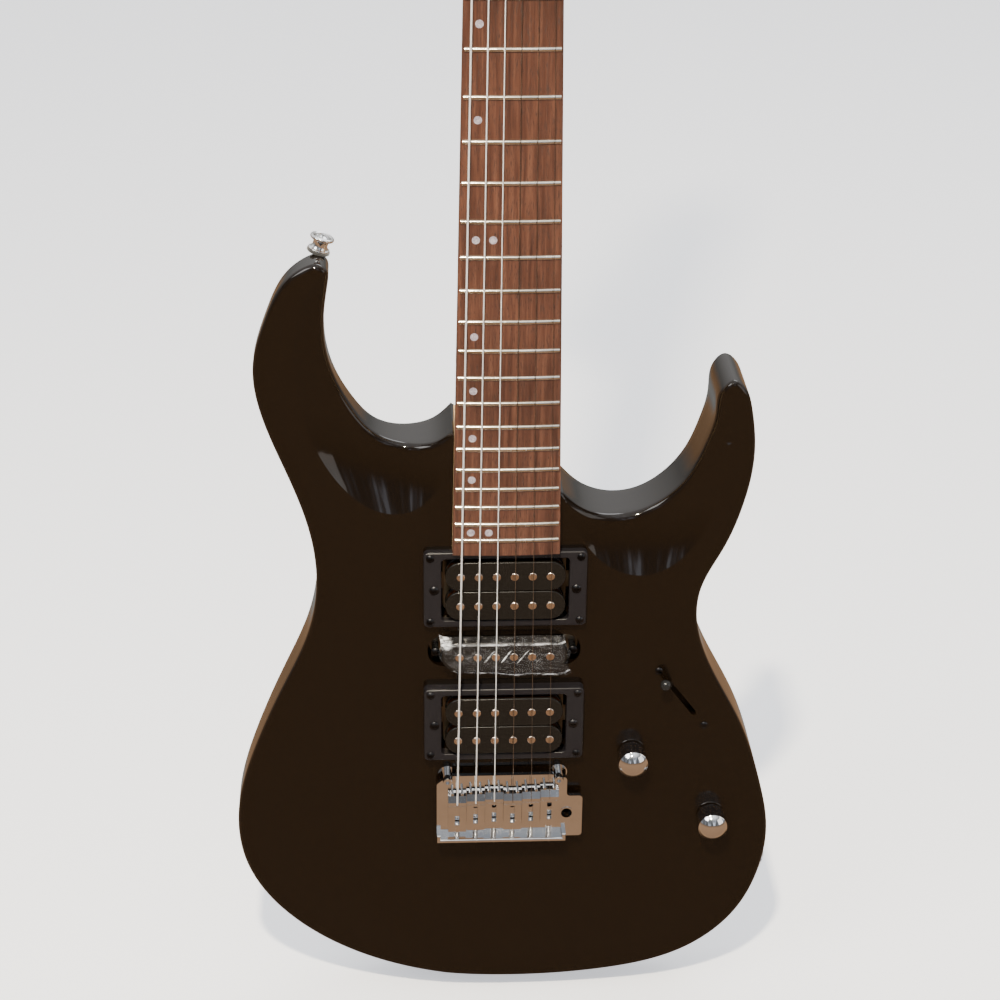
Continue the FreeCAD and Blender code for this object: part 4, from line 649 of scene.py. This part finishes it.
def outline():
    """The closed outline as (x, z), from the neck round the body and across under the neck."""
    rows = [(x, z + HEEL_Z) for x, z in BASS_CUTAWAY] + [(x, z + SADDLES_Z) for x, z in LOWER_BOUT]
    rows += [(x, z + HEEL_Z) for x, z in TREBLE_CUTAWAY]
    round_body = spline(rows, EDGE_STEP)
    gap = np.linalg.norm(round_body[0] - round_body[-1])
    share = np.linspace(0, 1, int(gap / 2))[1:-1, None]
    mouth = round_body[-1] * (1 - share) + round_body[0] * share
    return np.vstack([round_body, mouth])


def scoop_share(x, z, row):
    """Distance from a scoop's middle as a share of its ellipse, squared."""
    (cx, cz), a, b, lean = row
    t = math.radians(lean)
    dx, dz = x - cx, z - HEEL_Z - cz
    u = dx * math.cos(t) + dz * math.sin(t)
    v = -dx * math.sin(t) + dz * math.cos(t)
    return (u / a) ** 2 + (v / b) ** 2


def fall(x, z, row, soft):
    """Depth of a tilted flat that starts along a line: slope times the distance past the
    line, with the crease rounded over the length soft."""
    (x0, z0), (x1, z1), slope = row
    ax, az = x1 - x0, z1 - z0
    length = math.hypot(ax, az)
    past = (-az * (x - x0) + ax * (z - SADDLES_Z - z0)) / length
    return math.tan(math.radians(slope)) * (np.sqrt(past ** 2 + soft ** 2) + past) / 2


def front_y(x, z):
    """The front: flat, less the two scoops (caps of a flattened ball) and the forearm flat."""
    deep = SCOOP_DEPTH / 0.4
    depth = np.zeros_like(x)
    for row in SCOOPS:
        share = scoop_share(x, z, row)
        depth = np.maximum(depth, deep * (np.sqrt(np.clip(1 - 0.64 * share, 0, 1)) - 0.6))
    crease = 0.8 + 10 * smoothstep((-x - 60) / 60)
    return FACE_Y + depth + fall(x, z, FOREARM, crease)


def back_y(x, z):
    return REAR_Y - fall(x, z, BELLY, 9.0)


def inside(points, loop):
    """Even-odd test of (x, z) points against a closed loop."""
    result = np.zeros(len(points), bool)
    a, b = loop, np.roll(loop, -1, 0)
    for start in range(0, len(points), 4000):
        p = points[start:start + 4000, None]
        crosses = (a[:, 1] > p[..., 1]) != (b[:, 1] > p[..., 1])
        with np.errstate(divide="ignore", invalid="ignore"):
            at = a[:, 0] + (p[..., 1] - a[:, 1]) * (b[:, 0] - a[:, 0]) / (b[:, 1] - a[:, 1])
        result[start:start + 4000] = (crosses & (p[..., 0] < at)).sum(1) % 2 == 1
    return result


def filled(shape, outer, holes, surface, extra=(), creases=()):
    """A surface inside a loop less its holes: triangles between the loops and extra points,
    each point set at the height that surface gives for its (x, z)."""
    loops = [outer] + list(holes)
    points = list(loops) + list(creases) + [np.asarray(e, float).reshape(-1, 2) for e in extra]
    edges, start = [], 0
    for loop in loops:
        i = np.arange(len(loop))
        edges.append(np.stack([i + start, (i + 1) % len(loop) + start], 1))
        start += len(loop)
    for line in creases:
        i = np.arange(len(line) - 1)
        edges.append(np.stack([i + start, i + 1 + start], 1))
        start += len(line)
    points = np.vstack(points)
    flat, _, faces, *_ = delaunay_2d_cdt([Vector(p) for p in points.tolist()],
                                         np.vstack(edges).tolist(), [], 0, 1e-5)
    flat = np.array([tuple(p) for p in flat])
    faces = np.array(faces)
    middle = flat[faces].mean(1)
    keep = inside(middle, outer)
    for hole in holes:
        keep &= ~inside(middle, hole)
    x, z = flat[:, 0], flat[:, 1]
    shape.add(np.stack([x, surface(x, z), z], 1), faces[keep])


def wall(shape, loop, y0, y1):
    """The side of a hole between two depths, each a number or a function of (x, z)."""
    x, z = loop[:, 0], loop[:, 1]
    a = y0(x, z) if callable(y0) else np.full(len(loop), y0)
    b = y1(x, z) if callable(y1) else np.full(len(loop), y1)
    stack(shape, [np.stack([x, y, z], 1) for y in (a, b)])


def level(y):
    return lambda x, z: np.full_like(x, y)


def grid_points(x0, x1, z0, z1, step, loop, margin):
    """Points of a staggered grid that lie inside a loop by about a margin."""
    xs, zs = np.arange(x0, x1, step), np.arange(z0, z1, step * 0.87)
    gx, gz = np.meshgrid(xs, zs)
    gx[1::2] += step / 2
    points = np.stack([gx.ravel(), gz.ravel()], 1)
    points = points[inside(points, loop)]
    near = np.full(len(points), np.inf)
    for start in range(0, len(loop), 50):
        gap = np.linalg.norm(points[:, None] - loop[None, start:start + 50], axis=2).min(1)
        near = np.minimum(near, gap)
    return points[near > margin]


def slot_loop(length, width):
    """The selector's slot as a loop along its tilted line."""
    loop = rounded_rect(length, width, width / 2 - 0.05, 5)
    t = math.radians(-SLOT_TILT)
    turned = loop @ np.array([[math.cos(t), math.sin(t)], [-math.sin(t), math.cos(t)]])
    return turned + [SLOT_AT[0], SLOT_AT[1] + SADDLES_Z]


def loop_of_node(name, grow):
    """A rounded loop round a plate's own rim, read from its outer vertical faces."""
    mesh = frame["nodes"][name].data
    co = np.empty(len(mesh.vertices) * 3)
    mesh.vertices.foreach_get("co", co)
    points = np.unique(np.round(co.reshape(-1, 3)[:, [0, 2]] / MM, 3), axis=0)
    middle = points.mean(0)
    loop = points[convex_hull_2d([Vector(p) for p in points.tolist()])]
    out = loop - middle
    return loop + out / np.linalg.norm(out, axis=1)[:, None] * grow


def make_body():
    shape = Shape()
    rim = outline()
    along = np.roll(rim, -1, 0) - np.roll(rim, 1, 0)
    along /= np.linalg.norm(along, axis=1)[:, None]
    area = np.sum(rim[:, 0] * np.roll(rim[:, 1], -1) - np.roll(rim[:, 0], -1) * rim[:, 1])
    inward = np.stack([-along[:, 1], along[:, 0]], 1) * np.sign(area)
    edges = []
    for surface, sign in ((front_y, 1), (back_y, -1)):
        loops = []
        for a in np.radians(np.linspace(0, 90, 8)):
            inset = RIM * (1 - math.cos(a))
            x, z = (rim + inward * inset).T
            loops.append(np.stack([x, surface(x, z) + sign * RIM * (1 - math.sin(a)), z], 1))
        stack(shape, loops)
        edges.append(loops[0])
    stack(shape, [edges[0] * (1 - t) + edges[1] * t for t in np.linspace(0, 1, 6)])
    inner = rim + inward * RIM
    # what is open in the front
    bobbins = [rounded_rect(*PICKUP_HOLE, 3, 4) + [0, z] for z in (NECK_PICKUP_Z, BRIDGE_PICKUP_Z)]
    route = rounded_rect(*MIDDLE_HOLE, 9.0, 10) + [0, MIDDLE_PICKUP_Z]
    slot = slot_loop(*SLOT_HOLE)
    through = rounded_rect(*BLOCK_HOLE, 0.5, 3) + [0, BLOCK_HOLE_Z]
    posts = [rounded_rect(POST_HOLE, POST_HOLE, 4.35, 8) + [side * POST_X, POST_Z] for side in (-1, 1)]
    pocket = np.array([(-29.0, HEEL_Z), (29.0, HEEL_Z), (28.6, HEEL_Z + 26), (-28.3, HEEL_Z + 62)])
    creases, dense = [], []
    for row in SCOOPS:
        (cx, cz), a, b, lean = row
        t = np.linspace(0, 2 * np.pi, 400, endpoint=False)
        c, s = math.cos(math.radians(lean)), math.sin(math.radians(lean))
        u, v = a * np.cos(t), b * np.sin(t)
        line = np.stack([cx + u * c - v * s, HEEL_Z + cz + u * s + v * c], 1)
        held = inside(line, inner) & ~inside(line, pocket)
        changes = np.flatnonzero(np.diff(held.astype(int))) + 1
        runs, flags = np.split(line, changes), np.split(held, changes)
        creases += [r[1:-1] for r, f in zip(runs, flags) if f[0] and len(r) > 4]
        box = (line[:, 0].min(), line[:, 0].max(), line[:, 1].min(), line[:, 1].max())
        fine = grid_points(*box, 1.5, inner, 0.9)
        share = scoop_share(fine[:, 0], fine[:, 1], row)
        dense.append(fine[(share < 0.985) & ~inside(fine, pocket)])
    coarse = grid_points(-155, 158, 0, HEEL_Z + 170, 4.0, inner, 2.0)
    clear = np.ones(len(coarse), bool)
    for row in SCOOPS:
        clear &= scoop_share(coarse[:, 0], coarse[:, 1], row) > 1.06
    holes = bobbins + [route, slot, through, pocket] + posts
    for hole in holes:
        clear &= ~inside(coarse, hole)
    filled(shape, inner, holes, front_y, [coarse[clear]] + dense, creases)
    depths = [PICKUP_DEEP] * 3 + [SLOT_DEEP, BLOCK_HOLE_DEEP, POCKET_DEEP] + [PICKUP_DEEP] * 2
    for loop, depth in zip(holes, depths):
        wall(shape, loop, front_y, FACE_Y + depth)
        if loop is not through:
            filled(shape, loop, [], level(FACE_Y + depth))
    # what is open in the back
    seats = [loop_of_node("control_cover", 0.3), loop_of_node("spring_cover", 0.3)]
    clear = ~inside(coarse, seats[0]) & ~inside(coarse, seats[1])
    filled(shape, inner, seats, back_y, [coarse[clear]])
    floor_y, cavity_y = REAR_Y - COVER_SEAT, REAR_Y - CAVITY_DEEP
    wall(shape, seats[0], back_y, floor_y)
    filled(shape, seats[0], [], level(floor_y))
    cavity = rounded_rect(*CAVITY, 2, 4) + [0, CAVITY_Z]
    wall(shape, seats[1], back_y, floor_y)
    filled(shape, seats[1], [cavity], level(floor_y))
    wall(shape, cavity, floor_y, cavity_y)
    filled(shape, cavity, [through], level(cavity_y))
    make_piece(shape, "body_shell", 14.0, "root", "body_lacquer", "body")


make_body()


# ---- strings -----------------------------------------------------------------------------
POST_FIRST = (-18.5, 32.0)   # first tuner post from the middle of the nut
POST_PITCH = 25.0
HEAD_LEAN = math.radians(15.6)
POST_WAIST = 2.5
TREES = {5: 42.0, 4: 42.0, 3: 66.0, 2: 66.0}   # strings held down, and how far over the nut
STRING_HOLE_Z = SADDLES_Z - 9.5
STRING_AIR = 0.05
WOUND = 3


def string_points(i):
    """Corners of one string: ball end, plate, saddle, nut, tree and the side of its post,
    then the direction it arrives in and the middle of the post."""
    gauge, x = GAUGES[i], string_x(i, SADDLES_Z)
    nut_x = string_x(i, NUT_Z)
    nut_y = board_arc(low("frets", 1) - 0.5 - gauge / 2, nut_x)
    points = [(x, high("sustain_block", 1) - 8, STRING_HOLE_Z), (x, PLATE_Y - 0.5, STRING_HOLE_Z),
              (x, PLATE_Y - SADDLE_CREST - gauge / 2 - STRING_AIR, SADDLES_Z + INTONATION[i]),
              (nut_x, nut_y, NUT_Z), (string_x(i, NUT_END_Z), nut_y + 0.1, NUT_END_Z)]
    centre = np.array([POST_FIRST[0] + POST_PITCH * i * math.sin(HEAD_LEAN), HEAD_FACE_Y - 6.0,
                       NUT_Z + POST_FIRST[1] + POST_PITCH * i * math.cos(HEAD_LEAN)])
    wrap = POST_WAIST + gauge / 2 + STRING_AIR
    if i in TREES:
        z = NUT_Z + TREES[i]
        share = (z - NUT_END_Z) / (centre[2] - NUT_END_Z)
        start = points[-1][0]
        points.append((start + (centre[0] + wrap - start) * share, HEAD_FACE_Y - 4.0, z))
    start = np.array(points[-1])
    flat = (centre - start) * (1, 0, 1)
    far = np.linalg.norm(flat)
    lean = math.asin(wrap / far)
    toward = np.array([flat[0] * math.cos(lean) + flat[2] * math.sin(lean), 0,
                       flat[2] * math.cos(lean) - flat[0] * math.sin(lean)]) / far
    side = np.array([toward[2], 0, -toward[0]])
    return points, centre, wrap, toward, side


def eased(points, ease):
    """A run of straight lines whose corners are replaced by parabolas that start the ease
    distance before the corner and end as far behind it."""
    p = [np.asarray(q, float) for q in points]
    path = [p[0]]
    t = np.linspace(0, 1, 7)[:, None]
    for before, corner, after in zip(p, p[1:], p[2:]):
        into, out = corner - before, after - corner
        a = corner - into * min(ease / np.linalg.norm(into), 0.45)
        b = corner + out * min(ease / np.linalg.norm(out), 0.45)
        path.extend((1 - t) ** 2 * a + 2 * t * (1 - t) * corner + t ** 2 * b)
    path.append(p[-1])
    return np.array(path)


def divided(path, step):
    """The same path with its long straight lines cut into equal parts."""
    parts = [path[:1]]
    for a, b in zip(path, path[1:]):
        n = max(1, round(np.linalg.norm(b - a) / step))
        parts.append(a + (b - a) * (np.arange(1, n + 1) / n)[:, None])
    return np.vstack(parts)


def along_uv(thing, runs, sides, pitch):
    """UV map whose first value grows by one wave of the winding for each pitch of length."""
    wave = 2 * np.pi / 20
    u = np.concatenate([np.repeat(np.concatenate([[0], np.cumsum(np.linalg.norm(
        np.diff(path, axis=0), axis=1))]) * wave / p, sides) for path, p in zip(runs, pitch)])
    loops = np.empty(len(thing.data.loops), np.int32)
    thing.data.loops.foreach_get("vertex_index", loops)
    at = np.zeros(len(thing.data.vertices))
    at[:len(u)] = u
    uv = np.stack([at[loops], np.zeros(len(loops))], -1)
    thing.data.uv_layers.new(name="length").data.foreach_set("uv", uv.ravel())


def make_strings():
    """Each string as one tube: through the plate, over saddle, nut and tree, and down its
    post in a helix of turns that lie side by side. Its ends close on the ball and the post."""
    sides, turns = 12, 2.3
    ball = [(0, -2.8), (1.2, -2.8), (1.9, -2.4), (2.0, -2.0), (2.0, 0.0), (1.6, 0.4), (0, 0.4)]
    for name, group in (("wound_strings", range(WOUND)), ("plain_strings", range(WOUND, 6))):
        shape, balls, runs = Shape(), Shape(), []
        for i in group:
            points, centre, wrap, toward, side = string_points(i)
            reach = divided(eased(points + [centre + side * wrap], 1.6), 6.0)
            a = np.linspace(0, 2 * np.pi * turns, int(turns * 28))[1:, None]
            drop = GAUGES[i] * 1.04 * a / (2 * np.pi)
            helix = centre + wrap * (np.cos(a) * side + np.sin(a) * toward) - drop * (0, 1, 0)
            runs.append(np.vstack([reach, helix]))
            sweep(shape, runs[-1], GAUGES[i] / 2, sides)
            lathe(balls, ball, np.array(points[0]) + (0, 0.2, 0), (0, -1, 0), 20)
        string = shape.build(name + "_wire", MATERIALS[name[:-1]], 60, merge=0)
        along_uv(string, runs, sides, [0.24 + 0.14 * GAUGES[i] for i in group])
        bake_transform(string)
        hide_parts(name)
        make_piece(balls, name + "_balls", 40, "tremolo", name[:-1])


def make_tremolo_springs():
    """Three extension springs from the block to the claw: a close helix whose end turns
    narrow to hooks."""
    lowest, highest = low("tremolo_springs", 2), high("tremolo_springs", 2)
    y = high("sustain_block", 1) - 6.0
    wire, radius, pitch = 0.5, 3.25, 1.35
    turns = (highest - lowest - 13) / pitch
    shape = Shape()
    for x in (-20.0, 0.0, 20.0):
        a = np.linspace(0, 2 * np.pi * turns, int(turns * 20))
        z = lowest + 6.5 + pitch * a / (2 * np.pi)
        end = np.minimum(a, a[-1] - a)
        r = radius * smoothstep(0.3 + end / 3)
        coiled = np.stack([x + r * np.cos(a), y + r * np.sin(a), z], -1)
        first, last = coiled[0], coiled[-1]
        head = eased([(x, y + 1.2, lowest + 1.2), (x, y, lowest + 0.7), (x, y - 1.2, lowest + 1.8),
                      (x, y, lowest + 4), first], 0.8)[:-1]
        tail = eased([last, (x, y, highest - 4), (x, y - 1.2, highest - 1.8), (x, y, highest - 0.7),
                      (x, y + 1.2, highest - 1.2)], 0.8)[1:]
        sweep(shape, np.vstack([head, coiled, tail]), wire, 8)
    springs = shape.build("tremolo_spring_coils", MATERIALS["spring_steel"], 60, merge=0)
    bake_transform(springs)
    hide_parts("tremolo_springs")


def coil(shape, start, end, radius, wire, pitch):
    """A round wire wound in a helix between two points, its turns a little closer together
    at both ends."""
    start, end = np.asarray(start, float), np.asarray(end, float)
    length = np.linalg.norm(end - start)
    axis, u, v = frame_of(end - start)
    t = np.linspace(0, 1, int(length / pitch * 14) + 1)
    climb = t + 0.028 * np.sin(2 * np.pi * t)
    a = 2 * np.pi * (length / pitch) * t
    ring = np.cos(a)[:, None] * u + np.sin(a)[:, None] * v
    sweep(shape, start + radius * ring + (climb * length)[:, None] * axis, wire, 8)


def make_intonation_springs():
    """One small spring behind each saddle, between its tail and the plate's lip."""
    y, lip = PLATE_Y - 2.8, SADDLES_Z - 31.0 + 2.45
    shape = Shape()
    for i in range(6):
        x = string_x(i, SADDLES_Z)
        coil(shape, (x, y, lip), (x, y, SADDLES_Z + INTONATION[i] - 20.25), 1.25, 0.24, 0.95)
    make_piece(shape, "saddle_springs", 60, "tremolo", "spring_steel", "intonation_springs", merge=0)


# ---- pickups -----------------------------------------------------------------------------
def ring_piece(shape, z, height):
    """A pickup ring: round-cornered frames stacked up the outside, over a rounded edge,
    across the top and down the opening, closed underneath."""
    outer_w, outer_l, inner_w, inner_l = 89.5, 46.0, 70.0, 38.0
    top = FACE_Y - height
    loops = [rect_loop(outer_w, outer_l, 2.6, 6, FACE_Y, z)]
    for a in np.radians(np.linspace(0, 90, 6)):
        inset = 0.9 * (1 - math.cos(a))
        loops.append(rect_loop(outer_w - 2 * inset, outer_l - 2 * inset, 2.6 - inset, 6,
                               top + 0.9 * (1 - math.sin(a)), z))
    for a in np.radians(np.linspace(90, 0, 5)):
        inset = 0.6 * (1 - math.cos(a))
        loops.append(rect_loop(inner_w + 2 * inset, inner_l + 2 * inset, 2.0 + inset, 6,
                               top + 0.6 * (1 - math.sin(a)), z))
    loops.append(rect_loop(inner_w, inner_l, 2.0, 6, FACE_Y, z))
    stack(shape, loops, close=True)


def make_rings():
    shape = Shape()
    for z, height in RING_HEIGHTS.items():
        ring_piece(shape, z, height)
    make_piece(shape, "ring_frames", 50, "root", "black_plastic", "pickup_rings")


def make_bobbins():
    """Each bobbin: a round-ended flange with soft edges over a narrower core and a lower
    flange; pole pieces stand through its top."""
    shape = Shape()
    rows = [(z + side * 9.0, FACE_Y - height - BOBBIN_RISE, 66.0, 17.6) for z, height in RING_HEIGHTS.items()
            for side in (-1, 1)]
    rows.append((MIDDLE_PICKUP_Z, FACE_Y - 6.4, 64.0, 13.0))
    rims = [(4.4, 8.6), (0.4, 8.6), (0.0, 8.2), (0.0, 7.6), (0.4, 7.2), (4.2, 7.2), (4.2, 2.0),
            (0.3, 2.0), (0.0, 1.7)]
    rims += [(0.7 * (1 - math.cos(a)), 0.7 * (1 - math.sin(a))) for a in np.radians(np.linspace(0, 90, 5))]
    for z, top, width, length in rows:
        loops = [rect_loop(width - 2 * inset, length - 2 * inset, length / 2 - inset - 0.1, 12, top + depth, z)
                 for inset, depth in rims]
        stack(shape, loops, cap_first=True, cap_last=True)
    make_piece(shape, "bobbin_shells", 50, "root", "bobbin_plastic", "pickup_bobbins")


# ---- knobs -------------------------------------------------------------------------------
def make_knob(name, x, z):
    """A dome-topped knob: its side has fine flutes, |cos| of 18 times the angle deep, which
    fade out at the foot and under the crown."""
    radius, height, dome = 8.3, 17.0, 4.4
    ball = (radius ** 2 + dome ** 2) / (2 * dome)
    crown = [(math.sqrt(max(ball ** 2 - (ball - dome + h) ** 2, 0)), height - dome + h)
             for h in np.linspace(0.25, dome - 0.0001, 12)]
    side = [(3.2, 0.6), (radius - 0.7, 0.6), (radius - 0.2, 0.8), (radius, 1.2)]
    side += [(radius, h) for h in np.linspace(1.8, height - dome - 0.6, 16)]
    side += [(radius, height - dome - 0.1), (radius - 0.05, height - dome + 0.15)]
    profile = side + crown + [(0.0, height)]

    def flutes(angle, h):
        held = smoothstep((h - 1.4) / 1.2) * smoothstep((height - dome - 1.0 - h) / 1.2)
        return -0.28 * held * (1 - np.abs(np.cos(18 * angle)))

    shape = Shape()
    lathe(shape, profile, (x, FACE_Y, z), (0, -1, 0), 216, flutes)
    make_piece(shape, f"{name}_knob_turned", 40, f"{name}_knob", "chrome", f"{name}_knob")


# ---- strap buttons -----------------------------------------------------------------------
def make_strap_pins():
    """A button turned from one profile, foot flange, hollow waist and a rolled rim round a
    sunk screw, over a felt washer: one at the butt and one on the upper horn."""
    foot = [(2.3, 1.5), (5.4, 1.5)] + arc((5.3, 1.95), 0.45, -80, 80, 6) + [(4.7, 2.6)]
    waist = [(4.0 + 0.5 * (abs(t - 0.5) * 2) ** 3, 3.0 + 4.0 * t) for t in np.linspace(0, 1, 9)]
    rim = [(5.2, 7.3)] + arc((5.4, 8.3), 1.0, -60, 90, 9) + [(4.9, 9.25), (4.4, 8.9), (4.3, 7.6), (2.3, 7.6)]
    washer = [(2.4, 0.0), (5.8, 0.0), (6.15, 0.3), (6.2, 0.75), (6.15, 1.2), (5.8, 1.5), (2.4, 1.5)]
    lean = math.radians(17)
    places = [((0, 0, low("body", 2)), (0, 0, -1)),
              ((-98.5, 0, HEEL_Z + 163.6), (math.sin(lean), 0, math.cos(lean)))]
    buttons, washers = Shape(), Shape()
    for base, axis in places:
        lathe(buttons, foot + waist + rim, base, axis, 64)
        lathe(washers, washer, base, axis, 56)
    make_piece(buttons, "strap_button_turned", 35, "root", "chrome", "strap_buttons")
    make_piece(washers, "strap_felts", 50, "root", "felt", "strap_button_washers")


# ---- film --------------------------------------------------------------------------------
def make_film():
    """The thin film left over the middle pickup: a flat sheet over the cover's top whose
    edges hang, with fine creases that fan out from the corners."""
    n, m = 220, 110
    u, v = np.meshgrid(np.linspace(-1, 1, n), np.linspace(-1, 1, m), indexing="ij")
    ragged = 1 + 0.03 * np.sin(5 * v + 1.0) - 0.02 * np.cos(3 * v)
    low_left = smoothstep(-v) * smoothstep(-u)
    x = 36.2 * u * ragged + 9.0 * low_left ** 1.5 - 2.5 * smoothstep(v) * smoothstep(2 * u - 1)
    wavy = 1 + 0.05 * np.sin(4 * u + 0.6) * (v < 0)
    z = MIDDLE_PICKUP_Z - 0.5 + 12.4 * v * wavy - 1.1 * u * (v < 0) * v * v
    top = FACE_Y - 8.35
    fold = (np.sin(9 * u + 6 * v + 0.8 * np.sin(4 * u)) + 0.7 * np.sin(21 * u - 8 * v + 1.4)
            + 0.5 * np.sin(34 * u + 17 * v))
    crease = 1 - np.abs(np.sin(7 * u + 5 * v * (1 + u)))
    over_x = np.clip(np.abs(u) - 0.9, 0, 1) / 0.1
    over_z = np.clip(np.abs(v) - 0.62, 0, 1) / 0.38
    hang = 2.6 * smoothstep(over_x) + 3.0 * smoothstep(over_z) ** 1.4
    y = top + hang - 0.12 * fold * (0.4 + over_z) - 0.35 * crease ** 4 * (0.3 + over_z)
    y = np.clip(y, FACE_Y - 11.0, FACE_Y - 1.0)
    shape = Shape()
    shape.add(np.stack([x, y, z], -1), grid_faces(n, m))
    thing = shape.build("film_sheet", MATERIALS["clear_film"], 60, merge=0, recalc=False)
    # Painted highlights: a bright patch at the upper left corner, a line along the top edge, diagonal streaks
    # in the middle and a line along the hem, which the film's material paints white and opaque.
    corner = smoothstep((-0.78 - u) / 0.12) * smoothstep((v - 0.35) / 0.3)
    top_edge = 0.55 * np.exp(-((v - 0.68) / 0.05) ** 2)
    diagonal = np.exp(-(np.sin(9 * u - 3 * v + 1.2 * np.sin(3 * u)) / 0.16) ** 2)
    middle = 0.8 * diagonal * np.exp(-(u / 0.45) ** 2) * (np.abs(v - 0.08) < 0.3)
    hem = 0.5 * np.exp(-((v + 0.86 + 0.05 * np.sin(11 * u)) / 0.07) ** 2)
    glint = np.clip(corner + top_edge + middle + hem, 0, 1)
    thing.data.attributes.new("glint", "FLOAT", "POINT").data.foreach_set("value", glint.ravel())
    settle(thing, "root", "clear_film", "protective_film")


make_strings()
make_tremolo_springs()
make_intonation_springs()
make_rings()
make_bobbins()
make_knob("volume", 73.3, SADDLES_Z + 19.6)
make_knob("tone", 120.6, SADDLES_Z - 23.7)
make_strap_pins()
make_film()
